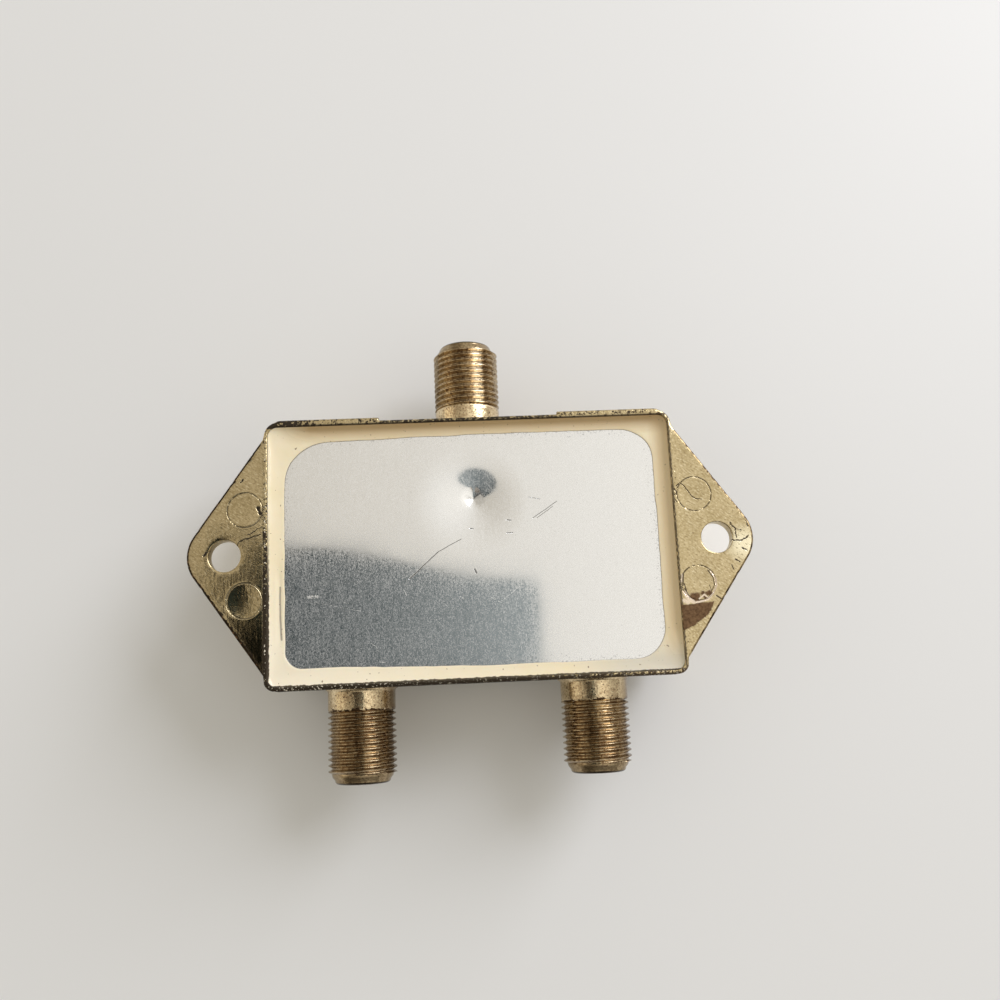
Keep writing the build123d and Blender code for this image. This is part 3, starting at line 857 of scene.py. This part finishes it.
# Walls of the casting. Below the flange the box hangs as one drafted shell with a rounded
# front edge. Its front wall has a shallow recess for the plate, a slot for the knob and
# two screw holes, and the lands run down the side of the common port.
shell_top = -0.42
shell_proud = 0.045
box_depth = -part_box("housing")[0].z / MM
draft = tan(radians(1.0))
front_edge = 0.8
wall = 1.6
wall_rings = 18
land_depth = 13.0
land_profile = ((-land_depth, 0.35), (-land_depth + 0.15, 0.1), (-land_depth + 0.4, 0.0), (shell_top, 0.0))
land_bevel = 0.15
land_sunk = 0.9
cavity_corner = 1.2
recess_width = 50.2
recess_height = 30.2
recess_corner = 1.6
recess_depth = 0.5
slot_length = 10.9
slot_width = 3.8
slot_corner = 0.4
screw_x = 14.3
screw_hole_radius = 1.3
screw_hole_points = 32
past = 2.0
quarter_bend = [radians(a) for a in (0, 18, 36, 54, 72, 90)]


def drafted_ring(z, inset=0.0):
    """The outline of the box at a height, a little smaller towards the front."""
    corner = max(0.3, box_corner - inset / 2)
    return at_height(box_outline(-z * draft + inset - shell_proud, corner, 0.6), z)


def roughened(points, seed, amount):
    """Points pushed about by the waviness of a cast wall."""
    return [
        Vector(point) + noise.noise_vector(Vector(point) / 2.2 + Vector((seed, 0, 0))) * amount
        for point in points
    ]


def closed_loft(rings):
    """Rings joined into a closed solid with flat ends."""
    solid = Solid()
    firsts = solid.bridge(rings)
    count = len(rings[0])
    solid.faces.append(tuple(reversed(range(firsts[0], firsts[0] + count))))
    solid.faces.append(tuple(range(firsts[-1], firsts[-1] + count)))
    return solid


def upright(outline, low, high):
    """An outline drawn out between two heights."""
    return closed_loft([at_height(outline, z) for z in (low, high)])


def shown_mesh(piece):
    """The mesh that a piece comes to, with its modifiers or its text worked out."""
    bpy.context.view_layer.update()
    return bpy.data.meshes.new_from_object(piece.evaluated_get(bpy.context.evaluated_depsgraph_get()))


def cut(piece, cutter, operation="DIFFERENCE"):
    """Takes a cutter out of a piece, or joins it on, and removes the cutter."""
    change = piece.modifiers.new("cut", "BOOLEAN")
    change.operation = operation
    change.solver = "EXACT"
    change.object = cutter
    made = shown_mesh(piece)
    piece.modifiers.clear()
    piece.data = made
    bpy.data.objects.remove(cutter)


walls = [drafted_ring(shell_top, shell_proud)]
for k in range(wall_rings):
    z = shell_top - shell_proud - (box_depth - front_edge + shell_top) * k / wall_rings
    walls.append(roughened(drafted_ring(z), 1.0, 0.016))
for bend in quarter_bend:
    walls.append(drafted_ring(-box_depth + front_edge * (1 - sin(bend)), front_edge * (1 - cos(bend))))
shell = closed_loft(walls[::-1]).piece("box_walls", 30)
for side in (-1, 1):
    rings = []
    for z, inset in land_profile:
        x_low = land_inner + inset - z * draft
        x_high = side_x - box_corner - inset + z * draft
        y_low = side_y - land_sunk
        y_high = side_y + land_rise + shell_proud - inset + z * draft
        y_bevel = y_high - land_bevel
        corners = [(x_low, y_low), (x_high, y_low), (x_high, y_bevel), (x_high - land_bevel, y_high)]
        corners += [(x_low + land_bevel, y_high), (x_low, y_bevel)]
        rings.append([(side * x, y, z) for x, y in corners])
    cut(shell, closed_loft(rings).piece("land"), "UNION")
front = -box_depth
recess = round_rectangle(recess_width, recess_height, [recess_corner] * 4, 0.4)
slot = round_rectangle(slot_length, slot_width, [slot_corner] * 4, 0.2)
openings = [
    (box_outline(wall, cavity_corner, 0.8), front + wall, past),
    (box_outline(rim_wall - shell_proud, pocket_corner, 0.8), pocket_floor - shell_proud, past),
    (recess, front - past, front + recess_depth),
    (slot, front - past, front + past),
    (circle((-screw_x, 0), screw_hole_radius, screw_hole_points), front - past, front + past),
    (circle((screw_x, 0), screw_hole_radius, screw_hole_points), front - past, front + past),
]
for outline, low, high in openings:
    cut(shell, upright(outline, low, high).piece("opening"))
shell.data.shade_smooth()
shell.data.set_sharp_from_angle(angle=radians(32))
finish_with(shell, cast_gold)
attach(shell, "box")


# Threaded ports of the casting. Each is a round spigot with a cast fillet at its root, a
# cut 3/8-32 thread, a plain rounded nose and a mouth whose lip holds the guide. Their
# crests have worn through the gold to brown.
port_mounts = [m for m in frame["record"]["mounts"] if m["name"].endswith("_port")]
port_length = 12.65
blank_radius = 4.65
thread_radius = 4.7
thread_root = 4.2
thread_pitch = 0.794
thread_start = 2.95
thread_end = 11.3
port_spacing = 32.3
nose_start = 4.2
nose_end = 3.75
nose_edge = 0.55
mouth_radius = 2.6
mouth_lip = 1.0
bore_radius = 3.0
bore_depth = 7.0
thread_turn = 96
thread_form = (
    (0.00, thread_root), (0.13, thread_root), (0.24, thread_root + 0.10), (0.42, thread_radius - 0.09),
    (0.50, thread_radius), (0.63, thread_radius), (0.71, thread_radius - 0.09), (0.89, thread_root + 0.10),
)
port_shade_brown = (0.15, 0.095, 0.05)


def round_ring(radius, reach, wear=0.0, seed=0.0):
    ring = []
    for k in range(thread_turn):
        a = 2 * pi * k / thread_turn
        push = noise.noise(Vector((cos(a) * 3, sin(a) * 3, reach * 0.9 + seed))) * wear
        ring.append((cos(a) * (radius + push), sin(a) * (radius + push), reach))
    return ring


def port_barrel(seed):
    """A port from its root at 0 to its end; the helix runs on over both ends and is held there."""
    solid = Solid()
    base = [(0.45, -0.35), (0.33, 0.02), (0.14, 0.13), (0.03, 0.3)]
    base += [(-0.005, 0.5 + 0.35 * k) for k in range(7)]
    rings = [round_ring(blank_radius + wider, reach, 0.03, seed) for wider, reach in base]
    rings.append(round_ring(blank_radius - 0.05, thread_start - 0.06))
    rings.append(round_ring(blank_radius - 0.12, thread_start))
    solid.bridge(rings, inward=True)

    turns = round((thread_end - thread_start) / thread_pitch) + 2
    rows = len(thread_form)
    first = len(solid.points)
    for turn in range(-1, turns):
        for share, radius in thread_form:
            for k in range(thread_turn):
                a = 2 * pi * k / thread_turn
                reach = thread_start + (turn + share + k / thread_turn) * thread_pitch
                r = radius
                if radius > blank_radius - 0.1:
                    r += noise.noise(Vector((cos(a) * 6, sin(a) * 6, reach * 2.2 + seed))) * 0.035 - 0.015
                if reach < thread_start:
                    reach, r = thread_start, blank_radius - 0.12
                elif reach > thread_end:
                    reach, r = thread_end, nose_start + 0.02
                solid.points.append((cos(a) * r, sin(a) * r, reach))
    last = thread_turn - 1
    for row in range((turns + 1) * rows - 1):
        low, high = first + row * thread_turn, first + (row + 1) * thread_turn
        solid.faces += [(low + k, high + k, high + k + 1, low + k + 1) for k in range(last)]
        # The helix has moved on by one pitch, which is so many rows, when it closes a turn.
        if row + rows + 1 < (turns + 1) * rows:
            onward = low + rows * thread_turn
            solid.faces.append((low + last, high + last, onward + thread_turn, onward))

    nose = [(nose_start, thread_end + 0.12), (nose_start - 0.07, thread_end + 0.4)]
    for a in quarter_bend:
        nose.append((nose_end + 0.06 - nose_edge * (1 - cos(a)), port_length - nose_edge * (1 - sin(a))))
    mouth = [(mouth_radius + 0.16, port_length), (mouth_radius + 0.05, port_length - 0.05)]
    mouth += [(mouth_radius, port_length - 0.16), (mouth_radius, port_length - mouth_lip)]
    mouth += [(bore_radius, port_length - mouth_lip), (bore_radius, port_length - bore_depth)]
    rings = [round_ring(nose_start + 0.02, thread_end)]
    for radius, reach in nose + mouth:
        rings.append(round_ring(radius, reach, 0.02 if radius > mouth_radius + 0.2 else 0.0, seed))
    firsts = solid.bridge(rings, inward=True)
    solid.faces.append(tuple(range(firsts[-1], firsts[-1] + thread_turn)))
    return solid


def beside_own_axis(place):
    """How far to the right of its port's axis a place is, and 1 on the two lower ports."""
    lower = place.y < 0.0
    return place.x - place.x.sign() * (lower * (port_spacing / 2)), lower


worn_gold, place, colour, *_ = gold_plating(
    "worn_thread_gold", (0.58, 0.465, 0.30), (0.25, 0.165, 0.09), 0.02, 0.15, 0.6, 3.0
)
# Painted light and shade on the threads: a pale strip and a dark strip beside the top port's axis, a darker
# strip right of each lower port's axis, and a darker lower left port.
off_axis, lower = beside_own_axis(place)
upper = 1.0 - lower
upper_shade_strip = off_axis.span(2.4, 2.6) * off_axis.span(3.5, 2.9) * upper * 0.4
lower_shade_strip = off_axis.span(2.8, 4.2) * lower
port_shade = upper_shade_strip | lower_shade_strip * 0.75
painted_highlight_strip = off_axis.span(0.8, 1.3, 0.0, 0.35) * off_axis.span(2.6, 2.4) * upper
colour = painted_highlight_strip.blend(colour, (0.50, 0.47, 0.37))
port_shade = port_shade | (place.x < -5.0) * 0.22
dress(worn_gold, Base_Color=port_shade.blend(colour, port_shade_brown))
base_gold, place, colour, *_ = gold_plating(
    "port_base_gold", (0.86, 0.71, 0.46), (0.48, 0.345, 0.20), 0.034, 0.15, 0.60, 3.6
)
grime = place.speckle(1.6, 3.0) < (place.y * -1.0).span(20.3, 21.0, 0.1, 0.50)
colour = grime.blend(colour, (0.09, 0.055, 0.028))
# The same painted shade right of each lower port's axis, on its base.
off_axis, lower = beside_own_axis(place)
port_shade = off_axis.span(2.8, 4.2) * lower * 0.7
dress(base_gold, Base_Color=port_shade.blend(colour, port_shade_brown))
nose_gold, place, colour, *_ = gold_plating(
    "port_nose_gold", (0.45, 0.35, 0.21), (0.20, 0.135, 0.075), 0.02, 0.16, 0.64, 3.0
)
from_middle = abs(place.y)
end_line = from_middle.span(30.5, 30.66) * from_middle.span(30.80, 30.83, 1.0, 0.3)
dress(nose_gold, Base_Color=end_line.blend(colour, (0.045, 0.035, 0.025)))
barrels = []
for mount in port_mounts:
    out = Vector(mount["axis"])
    side_axis = Vector((1, 0, 0))
    turn = Matrix((side_axis, out.cross(side_axis), out)).transposed()
    end = Vector(mount["pos_m"]) / MM
    solid = port_barrel(5.0 + end.x)
    solid.points = [tuple(turn @ Vector(point) + end - out * port_length) for point in solid.points]
    barrel = solid.piece(mount["name"].replace("_port", "_threaded_port"), 50)
    finish_with(barrel, worn_gold)
    barrel.data.materials.append(base_gold)
    barrel.data.materials.append(nose_gold)
    for face in barrel.data.polygons:
        reach = (face.center / MM - end).dot(out) + port_length
        if reach < thread_start - 0.02:
            face.material_index = 1
        elif reach > thread_end - 0.05:
            face.material_index = 2
    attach(barrel, "box")
    barrels.append(barrel)
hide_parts("housing")
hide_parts("housing")
for barrel in barrels:
    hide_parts("housing")


# Rear cover. A satin sheet of rolled aluminium that closes the back. It is not quite flat,
# and a blow has left one pointed dent. Handling has drawn fine bright and dark scratches.
cover_low, cover_high = (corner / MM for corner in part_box("rear_cover"))
cover_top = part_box("rear_seal")[0].z / MM
cover_corner = 1.2
cover_edge_height = 0.35
cover_sway = 0.012
cover_step = 0.6
dent_place = (0.52, 6.70)
dent_radius = 5.9
dent_depth = 0.76
dent_power = 1.24
dent_lean = 0.083
dent_bearing = 3.62
dent_shoulder = 4.3
dent_foot = 8.0
point_place = (0.26, 7.01)
point_radius = 1.9
point_depth = 0.35
aluminium = (0.90, 0.90, 0.895)
aluminium_dull = (0.85, 0.855, 0.855)


def cover_z(x, y):
    """A cone-like dent that runs out in a wide soft skirt, with a sharp point in its middle."""
    dx, dy = x - dent_place[0], y - dent_place[1]
    away = hypot(dx, dy, 0.2) / (1 + dent_lean * cos(atan2(dy, dx) - dent_bearing))
    left = 1 - dent_shoulder / dent_radius
    slope = dent_depth * dent_power * left ** (dent_power - 1) / dent_radius
    foot = slope / 2 / (dent_foot - dent_shoulder)
    if away > dent_shoulder:
        dent = foot * max(0.0, dent_foot - away) ** 2
    else:
        dent = dent_depth * ((1 - away / dent_radius) ** dent_power - left ** dent_power)
        dent += foot * (dent_foot - dent_shoulder) ** 2
    to_point = hypot(x - point_place[0], y - point_place[1])
    dent += point_depth * max(0.0, 1 - to_point / point_radius) ** 2
    sway = cast_wander(x, y, 21.0, 11.0, cover_sway) + cast_wander(x, y, 22.0, 4.0, 0.0015)
    return cover_top - cover_sway + sway - dent


cover_size = cover_high - cover_low
edge = round_rectangle(cover_size.x, cover_size.y, [cover_corner] * 4, cover_step)
keep_in = shifted(edge, 0.3)
grid = []
for column in range(-46, 46):
    for row in range(-29, 30):
        spot = Vector((cover_step * (column + (row % 2) / 2), cover_step * row))
        if within(spot, keep_in) and hypot(spot.x - dent_place[0], spot.y - dent_place[1]) > dent_foot + 0.2:
            grid.append(spot)
grid.append(Vector(dent_place))
for radius in [0.12 * k for k in range(1, 36)] + [dent_shoulder + 0.3 * k for k in range(13)]:
    grid += circle(dent_place, radius, max(8, round(radius * 22)))
cover = Solid()
cover.fill(edge, [], cover_z, grid)
under_z = cover_low.z + cover_edge_height
cover.bridge([at_height(edge, under_z), draped(edge, cover_z)])
cover.fill(edge, [], lambda x, y: min(under_z, cover_z(x, y) - 0.3), grid, up=False)
rear_plate = cover.piece("rear_plate", 50)

scratches = (
    (-8.8, -3.95, -4.8, -0.4, 0.09), (-4.8, -0.4, -1.6, 1.25, 0.06), (7.85, 6.75, 9.5, 6.4, 0.04),
    (8.4, 3.8, 11.8, 6.0, 0.05), (8.9, 3.75, 11.2, 5.3, 0.04), (4.8, 3.7, 5.35, 3.6, 0.08),
    (4.7, 1.86, 5.5, 1.87, 0.07), (-0.3, 2.7, 0.1, 2.65, 0.09), (0.1, -3.0, 0.3, -3.5, 0.14),
)
bright_scratches = (
    (-22.4, -5.9, -21.2, -5.8, 0.30), (-21.6, -6.6, -15.4, -8.0, 0.03), (-17.6, -6.8, -17.0, -7.0, 0.08),
    (-9.6, -5.4, -9.2, -6.2, 0.09), (-14.1, -12.4, -13.4, -12.9, 0.05), (-13.4, -12.9, -13.1, -13.7, 0.05),
    (-13.0, -14.9, -12.1, -15.0, 0.07), (-2.0, -6.6, -1.4, -6.9, 0.06), (3.6, -7.4, 6.6, -5.2, 0.04),
    (-5.6, -9.2, -4.4, -10.6, 0.03), (-24.0, -11.5, -22.9, -11.8, 0.04), (2.2, -6.9, 3.6, -7.7, 0.03),
)
satin_aluminium, place = new_material("satin_aluminium")
rolled = place.speckle(1.0, 1.0, stretch=(7.5, 2.4, 1.0))
bands = place.speckle(1.0, 2.0, 0.6, stretch=(2.4, 0.3, 1.0))
sparkle = place.speckle(6.5, 1.0, 0.6)
bloom = place.speckle(0.16, 3.0)
tone = rolled * 0.36 + sparkle * 0.46 + bands * 0.18
colour = tone.span(0.36, 0.64).blend(aluminium_dull, aluminium)
near = wavering(place, 1.2, 0.06)
dark_lines = strokes(near, scratches)
pale_lines = strokes(near, bright_scratches)
colour = (dark_lines * 0.75).blend(colour, (0.10, 0.10, 0.10))
beside = (abs(place.x) - 25.4) | (abs(place.y) - 15.9)
specks = place.speckle(4.2, 2.0, 0.6) > beside.span(-1.6, 0.2, 0.74, 0.57)
colour = (specks * 0.45).blend(colour, (0.33, 0.33, 0.34))
pale_lines = pale_lines * sparkle.span(0.40, 0.60, 0.2, 0.9)
colour = (pale_lines * 0.6).blend(colour, (0.97, 0.97, 0.97))
gloss = tone.span(0.38, 0.64, 0.035, 0.14) + bloom.span(0.35, 0.65, 0.0, 0.03)
gloss = gloss | pale_lines * 0.52
normal = (1.0 - dark_lines).relief(0.02, tone.relief(0.00015))
dress(satin_aluminium, Base_Color=colour, Roughness=gloss, Normal=normal)
dress(satin_aluminium, Metallic=tone.span(0.37, 0.62, 0.98, 0.67))
finish_with(rear_plate, satin_aluminium)
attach(rear_plate, "box")
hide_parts("rear_cover")


# Sealing bead. Cream sealant run by hand into the corner between the rim and the cover,
# and set with a glossy hollow face. Its inner edge wanders a little on the cover.
seal_low, seal_high = (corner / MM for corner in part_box("rear_seal"))
seal_width = seal_high.x - seal_low.x
seal_height = seal_high.y - seal_low.y
bead_width_x = 2.2
bead_width_y = 1.75
bead_sunk = -1.02
bead_radii = (4.3, 4.4, 6.4, 2.4)
bead_points = {"bend": 12, "runs": (56, 90)}
bead_profile = (
    (0.0, -0.30), (0.02, -0.42), (0.06, -0.53), (0.12, -0.61), (0.22, -0.70), (0.36, -0.79), (0.50, -0.865),
    (0.64, -0.925), (0.76, -0.965), (0.85, -0.99), (0.92, -1.005), (0.965, -1.03), (0.99, -1.07),
    (1.0, -1.13),
)
bead_crease_shade = ((-26.14, -4.4, -26.14, -8.2, 0.16), (-26.14, -8.2, -25.95, -11.4, 0.17))


def thin_bead(point):
    """1 along the top and the right, where the sealant has sunk, and 0 along the other sides."""
    from_top, from_right = seal_height / 2 - point.y, seal_width / 2 - point.x
    top = smooth_step(-from_top, -1.0, -0.2) * smooth_step(point.x, -27.0, -22.0)
    right = smooth_step(-from_right, -1.0, -0.2) * smooth_step(point.y, -17.0, -12.5)
    return max(top, right)


def bead_hollow(share):
    return 0.24 * smooth_step(share, 0.0, 0.22) * (1 - smooth_step(share, 0.25, 1.0))


bead_outside = round_rectangle(seal_width - 0.02, seal_height - 0.02, [pocket_corner] * 4, **bead_points)
even_inside = round_rectangle(
    seal_width - 2 * bead_width_x, seal_height - 2 * bead_width_y, bead_radii, **bead_points
)
bead_inside = []
for point in even_inside:
    push = cast_wander(point.x, point.y, 31.0, 5.0, 0.14) + cast_wander(point.x, point.y, 32.0, 1.3, 0.05)
    share = 0.35 if point.y > 0 else 0.6
    wider = share * smooth_step(-point.x, -2.0, 20.0) * smooth_step(abs(point.y), 12.0, 15.5)
    bead_inside.append(point + point.normalized() * push - Vector((0.0, point.y)).normalized() * wider)
rings = [at_height(bead_outside, under_z + 0.1)]
for share, z in bead_profile:
    ring = []
    for outer, inner in zip(bead_outside, bead_inside):
        p = outer.lerp(inner, share)
        sag = cast_wander(p.x, p.y, 33.0, 7.0, 0.05) * sin(pi * share)
        left = smooth_step(-p.x, 24.5, 25.2) * smooth_step(p.y, -13.0, -11.0) * smooth_step(-p.y, 1.0, 4.0)
        crease = 0.16 * left * bell(share - 0.70, 0.07)
        hollow = thin_bead(outer) * bead_hollow(share)
        lowest = cover_top - 0.05 if share > 0.95 else bead_sunk
        ring.append((p.x, p.y, max(z + sag - crease - hollow, lowest)))
    rings.append(ring)
rings.append([(x, y, cover_top - 0.12) for x, y, _ in rings[-1]])
rings.append(rings[0])
bead = Solid()
bead.bridge(rings)
seal = bead.piece("sealing_bead", 60)
cream_sealant, place = new_material(
    "cream_sealant", Roughness=0.14, Subsurface_Weight=0.12, Subsurface_Radius=(0.0012, 0.0008, 0.0004)
)
cloud = place.speckle(0.25, 3.0)
dust = place.speckle(2.6, 1.0)
# Painted light and shade on the bead: tan on the top and the right, partly the sealant's own tint and partly
# painted shade; paler on the lower left as painted light; greyer towards the lower right; dark lines in the
# creases on the left as painted shade.
tan_and_shade_top = place.y.span(15.2, 17.3) * place.x.span(-26.5, -22.0)
tan_and_shade_right = place.x.span(25.0, 26.5) * place.y.span(-17.0, -12.0)
lit_lower_left = place.x.span(8.0, -20.0) * place.y.span(-2.0, -13.0)
greyer = place.x.span(12.0, 20.0) * place.y.span(-13.0, -16.0)
crease_shade = strokes(wavering(place, 1.5, 0.05), bead_crease_shade)
thin_end = place.z.span(-1.035, -1.065) * cloud.span(0.3, 0.5, 0.5, 1.0)
rough_place = wavering(place, 0.6, 0.16)
low_foot = rough_place.y.span(-17.43, -17.5)
left_foot = rough_place.x.span(-27.5, -27.57) * place.y.span(6.0, -5.0)
colour = cloud.span(0.35, 0.65).blend((0.88, 0.765, 0.52), (0.91, 0.80, 0.58))
for amount, cover_colour in (
    (lit_lower_left * 0.8, (0.95, 0.86, 0.68)),
    (greyer, (0.72, 0.66, 0.53)),
    (tan_and_shade_right, (0.70, 0.555, 0.335)),
    (tan_and_shade_top, (0.55, 0.395, 0.205)),
    (dust.span(0.74, 0.80), (0.25, 0.18, 0.11)),
    (crease_shade * 0.75, (0.30, 0.26, 0.21)),
    (thin_end, (0.22, 0.20, 0.17)),
    (low_foot | left_foot, (0.05, 0.035, 0.02)),
):
    colour = amount.blend(colour, cover_colour)
dulled = (tan_and_shade_top | tan_and_shade_right).span(0.0, 0.6, 0.14, 0.42)
dress(cream_sealant, Base_Color=colour, Roughness=dulled, Normal=place.speckle(0.8).relief(0.02))
finish_with(seal, cream_sealant)
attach(seal, "box")
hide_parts("rear_seal")


# Front plate. A thin aluminium plate in the recess of the front, enamelled black, with
# the two positions of the knob marked in white. The screws of the switch hold it down.
print_depth = 0.02
print_top = -box_depth - print_depth
print_sunk = -box_depth + 0.01
letter_size = 5.0
letter_x = 9.2
arrow_x = 16.15
frame_x = 21.8
frame_y = 9.6
frame_corner = 1.2
frame_line = 0.35


def grained(name, base, other, per_mm, relief_mm, **plain):
    """A moulded, painted or plated surface: two close colours and a fine relief."""
    material, place = new_material(name, **plain)
    fine = place.speckle(per_mm, 3.0, 0.6)
    tone = (fine + place.speckle(per_mm / 8)).span(0.75, 1.25)
    dress(material, Base_Color=tone.blend(base, other), Normal=fine.relief(relief_mm))
    return material


enamel = grained(
    "black_enamel", (0.035, 0.035, 0.038), (0.055, 0.055, 0.06), 4.0, 0.006, Roughness=0.32, Coat_Weight=0.4
)
white_ink = grained("white_ink", (0.80, 0.80, 0.78), (0.72, 0.72, 0.70), 5.0, 0.004, Roughness=0.5)
finish_with(nodes["front_plate"], enamel)


def ink(piece):
    """Makes a piece part of the printing on the front plate."""
    finish_with(piece, white_ink)
    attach(piece, "box")


def letter(text, x, y):
    """A letter that reads rightly when the front is seen."""
    curve = bpy.data.curves.new("letter_" + text, "FONT")
    curve.body = text
    curve.size = letter_size * MM
    curve.extrude = print_depth * MM / 2
    curve.align_x = "CENTER"
    curve.align_y = "CENTER"
    writing = in_scene("writing", curve)
    middle = Vector((x, y, print_top + print_depth / 2)) * MM
    writing.matrix_world = Matrix.Translation(middle) @ Matrix.Rotation(pi, 4, "Y")
    mesh = shown_mesh(writing)
    mesh.transform(writing.matrix_world)
    bpy.data.objects.remove(writing)
    ink(in_scene("letter_" + text, mesh))


for text, side in (("A", 1), ("B", -1)):
    letter(text, side * letter_x, 0)
    x = side * arrow_x
    arrow = [(x + 1.0, -10.6), (x, -12.8), (x - 1.0, -10.6)]
    ink(upright([Vector(corner) for corner in arrow], print_top, print_sunk).piece("port_mark_" + text, 30))
outer_frame = round_rectangle(2 * frame_x, 2 * frame_y, [frame_corner] * 4)
inner_frame = shifted(outer_frame, frame_line)
line = Solid()
line.bridge([
    at_height(outer_frame, print_sunk), at_height(outer_frame, print_top),
    at_height(inner_frame, print_top), at_height(inner_frame, print_sunk), at_height(outer_frame, print_sunk),
])
ink(line.piece("printed_frame", 30))


# Switch, screws and the insides. The slide switch is bent plated steel over a laminate
# board; the slider is moulded black; contacts and leads are tinned; discs and sleeves in
# the ports are white. The solids have their true shape and take the finish of their kind.
finishes = {}
for slot, name, base, other, per_mm, relief_mm, metallic, roughness in (
    ("plated_steel", "zinc_plate", (0.62, 0.62, 0.60), (0.50, 0.50, 0.49), 3.0, 0.006, 1.0, 0.3),
    ("phenolic_board", "brown_laminate", (0.33, 0.18, 0.09), (0.25, 0.13, 0.06), 2.5, 0.01, 0.0, 0.55),
    ("black_plastic", "black_moulding", (0.028, 0.028, 0.03), (0.045, 0.045, 0.047), 6.0, 0.012, 0.0, 0.42),
    ("contact_metal", "tinned_bronze", (0.72, 0.71, 0.68), (0.60, 0.59, 0.56), 2.0, 0.006, 1.0, 0.25),
    ("white_plastic", "white_sleeve", (0.84, 0.84, 0.81), (0.78, 0.78, 0.75), 2.0, 0.006, 0.0, 0.35),
):
    finishes[slot] = grained(name, base, other, per_mm, relief_mm, Metallic=metallic, Roughness=roughness)
for part in frame["record"]["subparts"]:
    if part["material_slot"] in finishes:
        finish_with(nodes[part["node"]], finishes[part["material_slot"]])
